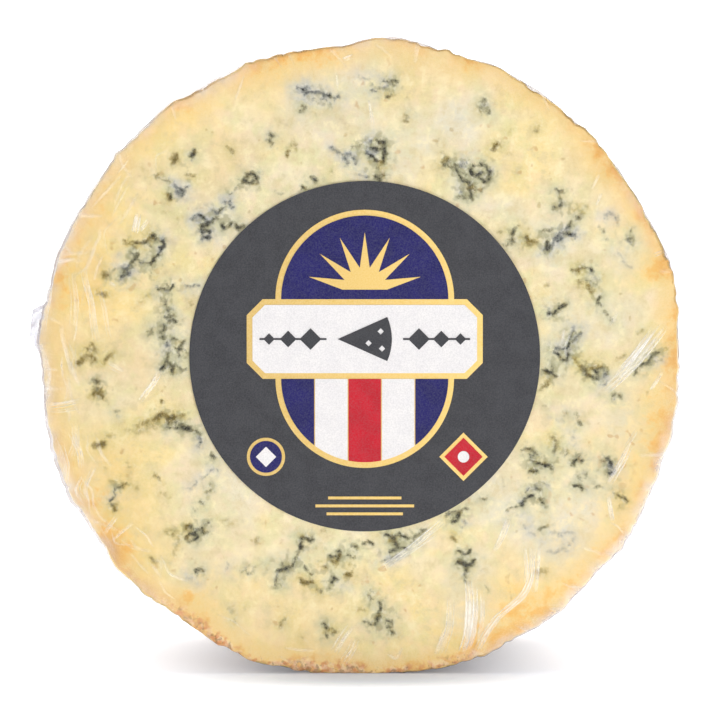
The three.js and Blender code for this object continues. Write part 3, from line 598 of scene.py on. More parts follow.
    (OLIVE, 0.9, 0.7, (53.6, 36.6, 55.4, 36.6)), (OLIVE, 1.3, 0.4, (43.4, 40, 43.8, 39.8)),
    (BLUE, 1.4, 0.55, (76, 44.3, 78, 45.6, 79.6, 44.8, 80.2, 43.4)), (DARK, 1.2, 0.5, (75, 41.7, 75.9, 40)),
    (DARK, 1.0, 0.45, (77, 37.7, 77.4, 37.2)), (DARK, 1.4, 0.5, (84.8, 40.8, 84.2, 38.6, 85.6, 36)),
    (DARK, 1.4, 0.6, (83.2, 37.2, 84.6, 37.6)),
    (BLUE, 1.0, 0.8, (-19.8, 84.8, -18.4, 84.4, -17, 83.6, -17.4, 82.8)),
    (BLUE, 0.9, 0.75, (-18.4, 84.4, -17, 84.9, -16.8, 83.2, -15, 83.2, -12.8, 83.4)),
    (BLUE, 1.1, 0.75, (-12.8, 83.4, -11.4, 82.4, -10, 82.2, -8.8, 81.6, -7.2, 82)),
    (BLUE, 0.8, 0.5, (-15.8, 81.3, -14, 81.2)), (BLUE, 0.8, 0.5, (-12.6, 81.2, -10.8, 81)),
    (OLIVE, 1.0, 0.35, (-10, 79.4, -10.3, 78.4)), (DARK, 1.2, 0.75, (-18.2, 79.5, -17.4, 78.6, -18.6, 77.8)),
    (OLIVE, 0.9, 0.3, (-14.2, 77, -13.6, 76.2)), (DARK, 1.4, 0.7, (-28.2, 70.2, -27.2, 70)),
    (DARK, 1.2, 0.75, (-28.8, 68.5, -28, 67.5)), (OLIVE, 1.7, 0.5, (-21, 68, -20.6, 66)),
    (OLIVE, 0.9, 0.6, (-22.2, 65, -23, 63.8)), (OLIVE, 2.6, 0.3, (-5.6, 74.6, -4.6, 73.4)),
    (OLIVE, 1.7, 0.6, (14.3, 75.4, 13.7, 74.4)),
    (BLUE, 1.0, 0.7, (-9, 66.2, -6.5, 65, -5, 63.4, -4.2, 61.2)),
    (BLUE, 1.0, 0.7, (-4.6, 63.8, -3, 63.6, -1.8, 62.6, -1.5, 61.2)),
    (DARK, 0.8, 0.6, (-2.6, 66.4, 0, 66.8, 1.2, 68.2)), (DARK, 1.4, 1.0, (5.4, 68.2, 7.1, 68.1, 6.9, 66.4)),
    (DARK, 1.2, 0.95, (6.9, 66.2, 4.8, 65.5, 3, 66.3)),
    (DARK, 1.2, 1.0, (1.8, 64.4, 3.4, 63.4, 4.6, 62.6, 5.4, 61.7)),
    (DARK, 1.0, 0.95, (5.6, 61.6, 6.6, 61.7, 7.4, 63.2, 7, 64.6)), (DARK, 1.2, 0.9, (7, 66, 7.6, 64.4)),
    (BLUE, 0.9, 0.7, (3.2, 68, 2.8, 66.4)), (BLUE, 0.8, 0.5, (1.6, 66.4, 2.6, 64.6)),
    (DARK, 1.3, 0.85, (4.6, 57, 5.4, 57.8, 6.6, 57.5)), (DARK, 1.2, 0.85, (5.8, 57.2, 5.9, 55.9)),
    (BLUE, 1.0, 0.55, (-0.4, 57.6, 2.2, 57)), (OLIVE, 0.9, 0.4, (5.2, 60.4, 5.3, 59.6)),
    (OLIVE, 1.1, 0.4, (-9.4, 58.8, -9, 58.8)), (DARK, 1.4, 0.75, (-15.6, 57.2, -14.6, 56.3, -13.6, 55.4)),
    (DARK, 1.1, 0.8, (-18, 54, -17.3, 53.4, -18.6, 52.8)),
    (DARK, 1.2, 0.35, (-27, 52.5, -25, 51.4, -23.6, 52.6)), (DARK, 1.1, 0.3, (-24.4, 57.6, -23.8, 57.4)),
    (DARK, 1.2, 0.85, (8.2, 86.8, 10, 87, 11.2, 86.7)), (DARK, 0.9, 0.6, (9.4, 86.6, 10, 85.6)),
    (OLIVE, 1.2, 0.7, (9, 82.2, 9.7, 83)), (BLUE, 1.0, 0.65, (3.4, 84, 5.2, 83.8, 6.6, 85, 8.4, 84.6)),
    (BLUE, 1.1, 0.45, (-0.4, 88.4, 2, 87.8, 3.8, 86.4)), (DARK, 1.0, 0.25, (15.8, 79.2, 17, 77)),
    (OLIVE, 1.1, 0.2, (15, 91.5, 14, 88)), (OLIVE, 1.6, 0.3, (-25.6, 75, -23, 73.4)),
    (OLIVE, 1.4, 0.3, (24.6, 69.6, 24.2, 67)),
]  # fmt: skip
print("strokes of blue:", len(STROKES))


# %% how far every point is from the strokes
HALO, HAZE, TINT = 3.6, 1.7, 2.0  # how far each reaches from a stroke, in millimetres
FURTHEST = 12  # beyond this nothing of a stroke is left


def blue_marks(points):
    """For each point of the cut: its vein's darkness and kind, and the wide and the narrow halo round it."""
    spot = on_face(points) + (wobble(points, 3.2, 5, 0.25) + wobble(points, 1.2, 7, 0.35))
    vein, tint, halo, haze = np.zeros((4, len(points)))
    total = np.full(len(points), 1e-6)
    for kind, width, strength, path in STROKES:
        path = np.array(path).reshape(-1, 2)
        near = np.abs(spot - path.mean(axis=0)).max(axis=1) < np.ptp(path, axis=0).max() / 2 + FURTHEST
        where = spot[near]
        away = np.full(len(where), 1e9)
        for a, b in zip(path, path[1:]):
            along = np.clip(((where - a) @ (b - a)) / max((b - a) @ (b - a), 1e-9), 0, 1)
            away = np.minimum(away, np.linalg.norm(where - a - along[:, None] * (b - a), axis=1))
        reach = (0.8 if kind == OLIVE else 0.6) * width
        vein[near] = np.maximum(vein[near], strength * np.exp(-((away / reach) ** 2)))
        halo[near] += strength * 0.4 * np.exp(-((away / HALO) ** 2))
        haze[near] += strength * 0.6 * np.exp(-((away / HAZE) ** 2))
        weight = strength * np.exp(-((away / TINT) ** 2))
        tint[near] += weight * kind
        total[near] += weight
    return vein, tint / total, 1 - np.exp(-halo), 1 - np.exp(-haze)


# %% [markdown]
# ## Clouds in the paste
# Between the veins the ivory drifts: paler where the paste is moist and the blue is near, warmer where it is
# closed, golden and amber in patches along the rind, and crumbly where the rim was pressed on its shelf.

# %% soft patches
# x, z from the middle of the wheel, reach in millimetres, strength.
PALE = [
    (-15, 88, 9, 0.5), (1, 88, 9, 0.5), (-10, 77, 8, 0.5), (-20, 78, 6, 0.5), (16, 65, 9, 0.8),
    (31, 73, 8, 0.9), (33, 50, 7, 0.5), (-44, -30, 9, 0.6), (-36, -47, 9, 0.4), (-42, 41, 8, 0.4),
    (83, -22, 9, 0.7), (44, -43, 9, 1.0), (73, -43, 10, 1.1), (61, -56, 11, 1.2), (34, -82, 6, 1.0),
    (34, -68, 7, 0.9), (58, 33, 8, 0.5), (-63, -22, 4, 0.3), (60, 3, 7, 0.4), (85, 33, 8, 0.5),
    (78, 12, 8, 0.4), (-60, 9, 7, 0.4), (-52, -68, 6, 0.4), (70, -55, 8, 0.9), (20, -58, 5, 0.3),
    (46, 46, 6, 0.5), (5, 74, 6, 0.4),
]  # fmt: skip
WARM = [
    (14, 84, 7, 0.6), (-30, 85, 10, 0.7), (-54, 70, 9, 0.5), (-40, 62, 7, 0.7), (-48, 54, 5, 0.5),
    (-84, 4, 10, 0.9), (-86, 20, 9, 0.8), (-74, 14, 9, 0.5), (-78, -30, 10, 0.9), (-75, -44, 8, 0.9),
    (-70, -52, 8, 0.8), (-66, -68, 10, 0.6), (-17, -80, 10, 0.9), (-30, -76, 8, 0.7), (-59, -56, 6, 0.4),
    (50, -76, 9, 0.9), (20, -76, 12, 0.4), (57, 62, 9, 0.5), (50, 52, 7, 0.5), (70, 62, 8, 0.5),
    (48, -64, 8, 0.6), (-72, 0, 7, 0.5), (-56, 30, 7, 0.4), (75, 5, 8, 0.4), (24, 84, 8, 0.5),
    (-6, -80, 7, 0.6), (8, -70, 7, 0.3), (-82, 42, 9, 0.6), (-44, -78, 8, 0.7), (90, -12, 7, 0.4),
    (84, -40, 6, 0.4), (-66, 0, 6, 0.4), (40, 62, 6, 0.4), (-62, -10, 8, 0.5),
]  # fmt: skip
# Golden patches of the rim: angle, spread in degrees, depth from the rim, strength.
GLOW = [
    (0, 5, 5, 0.9), (8, 3, 4, 1.1), (17, 3, 7, 1.3), (27, 4, 4, 0.9), (36, 6, 4, 1.1), (43, 4, 5, 0.5),
    (56, 8, 4, 0.4), (70, 3, 4, 0.9), (82, 4, 5, 0.8), (98, 7, 4, 1.1), (109, 7, 6, 0.9), (124, 4, 8, 0.8),
    (135, 8, 6, 0.5), (150, 9, 8, 0.8), (164, 7, 13, 1.0), (176, 6, 10, 0.7), (190, 8, 9, 0.6),
    (202, 6, 12, 0.6), (212, 6, 12, 1.0), (221, 5, 8, 0.9), (236, 6, 10, 1.0), (250, 7, 6, 0.9),
    (264, 9, 6, 0.8), (280, 8, 5, 0.9), (293, 6, 10, 1.3), (303, 6, 9, 1.4), (314, 7, 7, 1.3),
    (325, 6, 7, 1.1), (338, 6, 9, 1.1), (349, 6, 8, 1.3),
]  # fmt: skip


# %% clouds of every point
def soft_patches(points, patches):
    """0 to 1: how far each point lies in the patches."""
    spot = on_face(points) + wobble(points, 7, 15, 3.0)
    total = np.zeros(len(points))
    for x, z, reach, strength in patches:
        total += strength * np.exp(-(((spot - (x, z)) ** 2).sum(axis=1) / reach**2) ** 1.3)
    return 1 - np.exp(-1.3 * total)


def rim_glow(angle, inward):
    """0 to 1: how golden each point is, from its angle and its way inward from the rim."""
    total = np.zeros(len(angle))
    for at, spread, depth, strength in GLOW:
        total += strength * np.exp(-((apart(angle, at) / spread) ** 2) - np.clip(inward, 0, None) / depth)
    return 1 - np.exp(-1.9 * total)


# %% the rim, angle by angle
def pressed(angle):
    """1 where the rim is dry and crumbly, round the foot."""
    return stretch(angle, 262, 34)


def ragged(angle):
    """Small bumps of the cut edge, in millimetres."""
    along = (np.asarray(angle) * math.pi * WHEEL_RADIUS / 180)[:, None] * (1, 0, 0)
    places = (
        (117, 0.7, 6), (92, 0.4, 8), (129, 0.5, 5), (80, -0.4, 4), (189, -0.4, 4), (200, -0.3, 4),
        (332, 0.7, 4),
    )  # fmt: skip
    return 0.42 * lumps(along, 3.6, 61) + 0.3 * lumps(along, 1.7, 62) + round_the_rim(angle, places)


def bulge_of_film(angle):
    """Where air under the film lifts it off the rim, in millimetres."""
    places = (
        (206, 0.5, 10), (330, 0.2, 12), (350, 0.3, 9), (3, 0.2, 6), (118, 0.5, 7), (130, 0.2, 6),
        (162, 0.25, 7), (196, 0.3, 5),
    )  # fmt: skip
    return round_the_rim(angle, places)


def veil(angle):
    """1 where the film gathers whitish over the cut edge."""
    places = (
        (160, 0.8, 16), (184, 0.9, 14), (206, 0.9, 12), (88, 0.5, 7), (118, 0.7, 9), (136, 0.4, 9),
        (304, 0.8, 8), (320, 0.9, 12), (340, 0.8, 10), (30, 0.3, 5), (293, 0.4, 4), (228, 0.3, 6),
    )  # fmt: skip
    return np.clip(round_the_rim(angle, places), 0, 1)


def painted_rim_shade(angle):
    """Painted shade: how grey and brown the paste is made at its very edge, for the shade where rind and
    folded film lie over it.
    """
    places = (
        (200, 0.8, 18), (218, 0.5, 8), (234, 0.6, 14), (268, 0.5, 22), (40, 0.25, 34), (354, 0.4, 6),
        (176, 0.3, 8),
    )  # fmt: skip
    return np.clip(round_the_rim(angle, places), 0, 1)


def ember(angle):
    """How amber the paste is in the last millimetre or two before the rind."""
    places = (
        (1, 0.7, 4), (8, 0.9, 3), (18, 0.8, 3), (26, 0.9, 4), (36, 0.8, 7), (52, 0.3, 10), (70, 0.8, 4),
        (82, 0.9, 4), (98, 0.8, 9), (112, 0.5, 6), (128, 0.3, 8), (160, 0.4, 9), (222, 0.5, 10),
        (300, 0.4, 8), (346, 0.7, 5), (356, 0.8, 4),
    )  # fmt: skip
    return np.clip(round_the_rim(angle, places), 0, 1)


def close_to_cut(y):
    """1 at the cut edge, fading over 8 millimetres towards the back."""
    return np.exp(-((np.clip(y - FACE_Y - 3, 0, None) / 8) ** 2))


def rind_line(angle):
    """1 where the dark rind shows as a line round the cut, 0 where the film veils it."""
    return np.clip(stretch(angle, 66, 56, 6) + stretch(angle, 258, 36, 6), 0, 1)


print("whitish film at 200 degrees:", round(float(veil(200)), 2))

# %% [markdown]
# ## The paste
# The ivory body of the cheese. Its cut face needs the finest mesh, because the veins sink into it, so the
# rows are half a millimetre apart there and wide apart where rind and label hide it.

# %% sizes of the paste
PASTE_DEPTH = 0.22  # how far the paste lies under the film
TUCK = 2.2  # how far it goes on under the rind beside the cut
BURIED, BURIED_FROM = 6.5, -45  # and behind this y, where nothing of it shows
ABOVE_FLOOR = 0.1  # what lies under the film stays off the floor
FACE_SINK, VEIN_SINK = 0.12, 0.3  # how far the open face and its veins lie back from the film


def film_gap(angle):
    """How far the film stands off the cut edge: it bridges hollows on the left and low on the right."""
    return 0.45 * stretch(angle, 180, 42) + 0.2 * stretch(angle, 316, 24)


print("film off the paste on the left:", round(float(film_gap(180)), 2), "mm")

# %% turn the paste
PASTE_STEPS, PASTE_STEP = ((900, 0.55))
UNDER_LABEL = 49
rows = [(0, FACE_Y)] + line((30, FACE_Y), (UNDER_LABEL, FACE_Y), 10)
rows += line((UNDER_LABEL, FACE_Y), (CUT_EDGE, FACE_Y), PASTE_STEP)
rows += arc(CUT_EDGE, FACE_Y + CUT_ROUND, CUT_ROUND, -90, -20, 5)
tucked = len(rows)
rows += [(WHEEL_RADIUS, y) for y in (-56, -50, 0, BACK_START)]
rows += arc(*BACK_ARC, 20, 90, 4) + [(40, BACK_Y), (0, BACK_Y)]
inner = rows[:tucked] + [(r - TUCK, y - TUCK * (y > BACK_START)) for r, y in rows[tucked:]]
inner[-1] = (0, inner[-1][1])
paste, row, angle = spun("paste", inner, PASTE_STEPS)

# %% bring the paste to its surface
nominal = np.array(rows)[row]
depth = np.where(row >= tucked, TUCK, PASTE_DEPTH * (1 - 0.5 * pressed(angle)))
edge = np.clip((nominal[:, 0] - 90) / 9, 0, 1) ** 2 * (row < tucked)  # where film may stand off
very_edge = np.clip((nominal[:, 0] - 93) / 6, 0, 1) * (row < tucked)  # where the outline is ragged
depth = np.where((row >= tucked) & (nominal[:, 1] > BURIED_FROM), BURIED, depth + edge * film_gap(angle))
surface, facing = skin(nominal[:, 0] + very_edge * ragged(angle), nominal[:, 1], angle, depth)
front = (nominal[:, 1] < FACE_Y + 2) & (row < tucked)
print("vertices of the face:", int(front.sum()))

# %% sink the veins
vein, tint, halo, haze = (v * front for v in blue_marks(surface))
inward = WHEEL_RADIUS - nominal[:, 0] + 1.8 * lumps(surface, 5, 17) * front
rough = 0.10 * lumps(surface, 2.6, 31) + 0.06 * lumps(surface, 1.2, 32)
from_label = np.hypot(surface[:, 0] - LABEL_AT[0], surface[:, 2] - LABEL_AT[1])
open_face = front & (from_label > LABEL_RADIUS - 2)  # under the label the cut stays flat
sink = open_face * (FACE_SINK * (1 - very_edge * pressed(angle)) + VEIN_SINK * vein + rough)
surface -= facing * sink[:, None]
surface[:, 2] = np.maximum(surface[:, 2], ABOVE_FLOOR)
place(paste, surface)
print("vertices in a vein:", int((vein > 0.5).sum()))

# %% store what the finish of the paste needs
mark(paste, "marks", (vein, tint, halo, np.clip(nominal[:, 0] / WHEEL_RADIUS, 0, 1)))
clouds = (soft_patches(surface, PALE), soft_patches(surface, WARM), haze, rim_glow(angle, inward))
mark(paste, "clouds", clouds)
inward = np.clip(inward, 0, None)
crumbling = pressed(angle) * np.exp(-((inward / 3.2) ** 2))
kinds = ((veil, 2.2), (painted_rim_shade, 3.4), (ember, 2.6))  # each with how far in it reaches
edges = [kind(angle) * np.exp(-((inward / reach) ** 2)) for kind, reach in kinds]
mark(paste, "edge", (crumbling, *edges))
print("crumbly vertices:", int((crumbling > 0.5).sum()))

# %% [markdown]
# ## The rind
# A dry crust a millimetre or two thick, tan under a grey-white bloom, cracked and pitted. It is a shell of
# its own round the paste: turned as a closed lip from the inside over the cut edge to the outside, then
# roughened.

# %% turn the rind
RIND_STEPS, RIND_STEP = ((560, 1.5))
outer = arc(CUT_EDGE, FACE_Y + CUT_ROUND, CUT_ROUND, -62, 0, 6)
outer += line((WHEEL_RADIUS, FACE_Y + 2), (WHEEL_RADIUS, BACK_START), RIND_STEP)
outer += arc(*BACK_ARC, 0, 90, 16) + line((85, BACK_Y), (0, BACK_Y), RIND_STEP) + [(0, BACK_Y)]
wall = [(WHEEL_RADIUS, y) for y in (30, -20, FACE_Y + 2.6)]
inside = [(0, BACK_Y), (50, BACK_Y)] + arc(*BACK_ARC, 90, 0, 5)[:-1] + wall
CRUST = 1.9  # thickness of the rind
rows = inside + outer
inner = [(max(r - CRUST, 0), y - CRUST * (y >= BACK_START)) for r, y in inside] + outer
rind, row, angle = spun("rind", inner, RIND_STEPS)

# %% bring the rind to its surface
nominal = np.array(rows)[row]
hidden = row < len(inside)
gap = film_gap(angle) * np.clip(1 - (nominal[:, 1] - FACE_Y - 40) / 50, 0, 1)
near_cut = close_to_cut(nominal[:, 1]) * ~hidden
shown = PASTE_DEPTH * (1 - 0.5 * pressed(angle) * near_cut) + gap
out_to = nominal[:, 0] + near_cut * ragged(angle)
surface, facing = skin(out_to, nominal[:, 1], angle, np.where(hidden, CRUST, shown))
print("vertices of the inside:", int(hidden.sum()))

# %% crack and pit the rind
cracked = np.zeros(len(surface))
for size, seed, weight in ((9.0, 41, 0.5), (5.0, 42, 0.34), (2.7, 43, 0.2)):
    cracked += weight * np.clip(1 - np.abs(lumps(surface, size, seed)) / 0.22, 0, 1)
pits = np.clip(lumps(surface, 2.2, 44) - 0.35, 0, 1)
bulge = 0.25 * lumps(surface, 6.0, 45) + 0.12 * lumps(surface, 2.4, 46)
grown = np.clip((nominal[:, 1] - FACE_Y - 3) / 14, 0.05, 1) * ~hidden
sink = grown * np.clip(0.4 + 0.75 * cracked + 0.5 * pits - bulge, 0.25, 2.2)
surface -= facing * sink[:, None]
surface[:, 2] = np.maximum(surface[:, 2], ABOVE_FLOOR)
place(rind, surface)
behind = np.clip((nominal[:, 1] - FACE_Y) / 40, 0, 1)
mark(rind, "marks", (np.clip(cracked, 0, 1), np.clip(pits * 2, 0, 1), behind, rind_line(angle)))
print("deepest crack:", round(float(sink.max()), 2), "mm")

# %% [markdown]
# ## The film
# Clear film drawn tight over everything. A single skin is enough, because its two faces lie closer together
# than the eye can tell. It keeps to the solid's surface, with the trimmed seam as a ridge round the side.

# %% turn the film
FILM_STEPS, FILM_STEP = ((640, 1.7))
SEAM_HIGH, SEAM_WIDE = 0.9, 0.75
across_seam = (-1.6, -1.1, -0.7, -0.35, 0, 0.35, 0.7, 1.1, 1.6)
seam = [(SEAM_Y + d, SEAM_HIGH * math.exp(-((d / SEAM_WIDE) ** 2))) for d in across_seam]
rows = [(0, FACE_Y)] + line((25, FACE_Y), (50, FACE_Y), 12)
rows += line((50, FACE_Y), (CUT_EDGE, FACE_Y), FILM_STEP)
rows += arc(CUT_EDGE, FACE_Y + CUT_ROUND, CUT_ROUND, -90, 0, 7)
rows += line((WHEEL_RADIUS, FACE_Y + 2.5), (WHEEL_RADIUS, SEAM_Y - 1.6), FILM_STEP)
first = len(rows)
rows += [(WHEEL_RADIUS, y) for y, _ in seam]
rows += line((WHEEL_RADIUS, SEAM_Y + 2.4), (WHEEL_RADIUS, BACK_START), FILM_STEP)
rows += arc(*BACK_ARC, 0, 90, 14) + line((85, BACK_Y), (0, BACK_Y), FILM_STEP * 1.7) + [(0, BACK_Y)]
film, row, angle = spun("film", rows, FILM_STEPS)

# %% draw the film tight
nominal = np.array(rows)[row]
raised = np.zeros(len(rows))
raised[first:first + len(seam)] = [h for _, h in seam]
along = angle[:, None] * (1, 0, 0)
ripple = 0.25 + 0.75 * (0.5 + 0.5 * lumps(along, 3.0, 51))
ripple *= 1 - 0.8 * stretch(angle, 116, 16)  # low where the seam would show past the cut edge
over_edge = np.clip((nominal[:, 0] - 94) / 5, 0, 1) * close_to_cut(nominal[:, 1])
out_to = nominal[:, 0] + over_edge * (ragged(angle) + bulge_of_film(angle))
surface, facing = skin(out_to, nominal[:, 1], angle)
surface += facing * (raised[row] * ripple)[:, None]
surface[:, 2] = np.maximum(surface[:, 2], 0)
place(film, surface)
streaky = 0.6 + 0.8 * lumps(surface * (1, 0.4, 1), 1.9, 63)
whitish = np.clip(raised[row] + veil(angle) * over_edge ** 2 * np.clip(streaky, 0, 1), 0, 1)
mark(film, "marks", (whitish,) * 3)
print("the seam stands out by:", round(float((raised[row] * ripple).max()), 2), "mm")

# %% [markdown]
# ## Creases in the film
# Where film is gathered it folds on itself and turns whitish. A crease is a narrow ribbon, arched across: one
# grid is modelled, then each copy is laid along its own path on the skin and tapered at both ends.

# %% model one crease
CREASE_STEPS = 18
crease = grid("crease", CREASE_STEPS, 4, 2)
crease_form = vertices(crease) * MM  # from -1 to 1 both ways
crease_form[:, 0] = (crease_form[:, 0] + 1) / 2  # along: 0 to 1, across: -1 to 1
crease_form[:, 2] = 1 - crease_form[:, 1] ** 2
print("one crease:", len(crease_form), "vertices")


# %% a crease on the skin
def on_skin(reach, turn):
    """The skin at a distance from the middle of the cut, measured along the surface over the cut edge."""
    quarter = CUT_ROUND * math.pi / 2
    bend = np.clip((reach - CUT_EDGE) / CUT_ROUND, 0, math.pi / 2)
    radius = np.where(reach < CUT_EDGE, reach, CUT_EDGE + CUT_ROUND * np.sin(bend))
    y = np.where(reach < CUT_EDGE, FACE_Y, FACE_Y + CUT_ROUND * (1 - np.cos(bend)))
    past = reach - CUT_EDGE - quarter
    y = np.where(past > 0, FACE_Y + CUT_ROUND + past, y)
    over = (y - BACK_START) / CRUST_ROUND
    turned = np.clip(over, 0, math.pi / 2)
    radius = np.where(over > 0, WHEEL_RADIUS - CRUST_ROUND * (1 - np.cos(turned)), radius)
    radius = radius - CRUST_ROUND * np.clip(over - math.pi / 2, 0, None)
    y = np.where(over > 0, BACK_Y - CRUST_ROUND * (1 - np.sin(turned)), y)
    return skin(radius, y, turn)


def from_middle(x, z):
    """Reach and angle of a point of the cut."""
    return math.hypot(x, z), math.degrees(math.atan2(z, x))


def laid(path, width, height):
    """Vertices of one crease along a path of (reach, angle). Reach is the way from the middle of the cut."""
    path = np.array(path, float)
    path[:, 1] = np.unwrap(path[:, 1], period=360)
    t = crease_form[:, 0]
    knots = np.linspace(0, 1, len(path))
    fine_knots, window = np.linspace(0, 1, 60), 13
    finer = [np.pad(np.interp(fine_knots, knots, path[:, i]), window // 2, mode="edge") for i in (0, 1)]
    smooth = [np.convolve(column, np.ones(window) / window, "valid") for column in finer]
    here, facing = on_skin(*(np.interp(t, fine_knots, s) for s in smooth))
    ahead, behind = (on_skin(*(np.interp(t + by, fine_knots, s) for s in smooth))[0] for by in (0.01, -0.01))
    along = ahead - behind
    along /= np.linalg.norm(along, axis=1)[:, None] + 1e-9
    across = np.cross(facing, along)
    taper = np.clip(np.sin(math.pi * np.clip(t, 0.01, 0.99)), 0, 1) ** 0.3
    wide, high = crease_form[:, 1] * taper * width / 2, crease_form[:, 2] * taper * height
    return here + across * wide[:, None] + facing * high[:, None]


print("reach and angle of (30, 40):", from_middle(30, 40))

# %% creases that stand out
# Width, whiteness, then points (x, z) from the middle of the wheel.
FACE_CREASES = [
    (2.0, 0.75, (53, -57, 53.2, -66, 51, -73, 45, -78.5, 40, -83)), (2.0, 0.75, (44, -79, 39, -85, 36, -91)),
    (1.6, 0.5, (55, -58, 54.4, -66, 53.6, -73)), (2.4, 0.8, (33.4, -68, 34, -77, 33.4, -86, 31.4, -92)),
    (1.8, 0.7, (35.8, -70, 35.6, -79, 34.6, -87, 33, -91)), (1.6, 0.35, (37.6, -72, 37.8, -80, 36, -90)),
    (2.0, 0.4, (28, -74, 27.6, -84, 25, -93)), (1.6, 0.6, (46, -49, 44, -54, 41, -60)),
    (1.4, 0.5, (50.6, -58, 51.4, -65, 50.6, -70)), (1.8, 0.7, (26, -50, 20, -55, 12, -62, 6, -66.5)),
    (1.2, 0.45, (24, -54, 18, -59, 11, -64)), (2.6, 0.75, (95, 10.5, 90.5, 4, 84, -3.6, 75, -11)),
    (2.4, 0.65, (92, 10, 86.5, 2, 80, -6.5)), (1.6, 0.5, (90, 7, 85, 0, 80.6, -4)),
    (1.4, 0.5, (94.6, -4, 92, -8, 90.4, -10)), (1.8, 0.6, (84.6, -26.5, 81.6, -33, 77.6, -39.4)),
    (1.2, 0.35, (86.5, -22, 83, -28)), (1.8, 0.55, (-63, -4, -65, -8, -69, -13.5)),
    (2.2, 0.75, (-71, 39.4, -69.8, 46)), (1.4, 0.5, (-69.6, 40, -66.6, 44)),
    (1.6, 0.6, (-87, -13, -93, -14.4, -98, -14.8)), (1.0, 0.4, (-87.5, -15.4, -93, -16.4, -97.6, -16.2)),
    (2.4, 0.5, (-2.5, -84, -5.5, -88, -8.4, -93)), (2.2, 0.45, (-1.5, -88, -3, -91.5, -6, -96)),
    (1.4, 0.5, (2.4, 81.4, 3.8, 73)), (1.2, 0.4, (74.6, 58, 72, 53)), (1.2, 0.45, (75, 52, 73.4, 48)),
    (1.8, 0.6, (77.8, -43, 78.2, -47, 78.6, -51)), (1.6, 0.4, (26.4, -84, 23.4, -93)),
    (1.6, 0.5, (-85.6, -36, -88, -41, -85, -46)), (1.4, 0.5, (-76, -49, -80.5, -55)),
    (1.2, 0.4, (-71, -51, -78, -57)), (1.6, 0.5, (-81.6, -33, -85, -40, -84.6, -45)),
    (2.2, 0.35, (-90, 28, -88.8, 18, -88.6, 9)), (2.0, 0.4, (-86.6, 29, -84, 18, -80.6, 4)),
    (1.8, 0.3, (-92.6, 12, -91, 2, -90, -6)), (2.2, 0.4, (-95.6, 30, -97.6, 18, -97.8, 6)),
    (1.8, 0.35, (-93.6, 36, -91.6, 40, -88, 47)), (1.4, 0.3, (-81.6, 24, -79.4, 14, -77, 6)),
    (2.2, 0.35, (-89, -20, -88.4, -26, -90, -31)), (1.8, 0.45, (-90.5, -22, -86.6, -29, -86, -34)),
    (1.6, 0.4, (-93.5, -26, -90.6, -33, -91.6, -40)), (1.2, 0.4, (63, 9.6, 62.6, 5)),
    (1.2, 0.45, (66, 9.6, 63.6, 4, 64.4, 0)), (1.4, 0.3, (-78.6, 24, -76, 22)),
    (1.6, 0.35, (-60, -3, -60.6, -2.6)), (1.4, 0.45, (91, 32, 94, 33.4)), (1.2, 0.35, (80, 15, 77, 10)),
    (1.6, 0.4, (-6, 95.6, -2.4, 96.2)), (1.2, 0.35, (-8, 92, -7.4, 86)), (1.8, 0.3, (-79, -1, -74, -4)),
]  # fmt: skip
print("creases set by hand:", len(FACE_CREASES))

# %% paths of all folds
SHORT_FOLDS, RIM_FOLDS, PLEATS = 30, 44, 34
draw = np.random.default_rng(11)
paths = []
for width, white, points in FACE_CREASES:  # each is a bundle of narrow folds
    points = np.array(points).reshape(-1, 2)
    course = points[-1] - points[0]
    sideways = np.array([-course[1], course[0]]) / np.hypot(*course)
    strands = 3 if width > 1.5 else 2
    for k in range(strands):
        shift = ((k - (strands - 1) / 2) * 0.42 + draw.normal(0, 0.08)) * width
        strand = points + sideways * shift + draw.normal(0, 0.12, points.shape)
        broad = draw.uniform(0.6, 0.9) if k == 1 else draw.uniform(0.25, 0.45)
        ends = [from_middle(*p) for p in strand]
        paths.append((broad * width, white * draw.uniform(0.7, 1.2), ends))
for _ in range(SHORT_FOLDS):  # Where film is gathered it folds on itself and turns whitish, with a faint glow as a painted highlight. A crease is a narrow ribbon, arched across: one grid is modelled, then each copy is laid along its own path on the skin and tapered at both ends.
    at, start = draw.uniform(0, 360), draw.uniform(90, 97)
    length, lean = draw.uniform(5, 14), draw.normal(0, 3.5)
    middle = (start + length / 2, at + lean / 2 + draw.normal(0, 0.4))
    ends = [(start, at), middle, (start + length, at + lean)]
    paths.append((draw.uniform(0.9, 2.0), draw.uniform(0.15, 0.35), ends))
for _ in range(RIM_FOLDS):  # along the rim, mostly where the film is slack on the left
    at, start, length = draw.normal(195, 34), draw.uniform(86, 98), draw.uniform(3, 9)
    middle = (start + draw.normal(0, 1.2), at + length / 2)
    ends = [(start, at), middle, (start + draw.normal(0, 1.6), at + length)]
    paths.append((draw.uniform(0.7, 1.7), draw.uniform(0.15, 0.4), ends))
for bundle in range(PLEATS):  # bundles of pleats near the seam, on the side, and round the back edge
    at = draw.uniform(0, 360)
    middle = (draw.uniform(116, 130), draw.uniform(140, 180), draw.uniform(206, 222))[bundle % 3]
    lean, reach = draw.normal(0, 2.5), draw.uniform(7, 15)
    for _ in range(draw.integers(3, 7)):
        here, half = at + draw.normal(0, 1.8), reach * draw.uniform(0.5, 1.1)
        bow = draw.normal(0, 0.9)
        ends = [(middle - half, here - lean), (middle, here + bow), (middle + half, here + lean)]
        paths.append((draw.uniform(0.8, 2.6), draw.uniform(0.08, 0.3), ends))
print("paths:", len(paths))

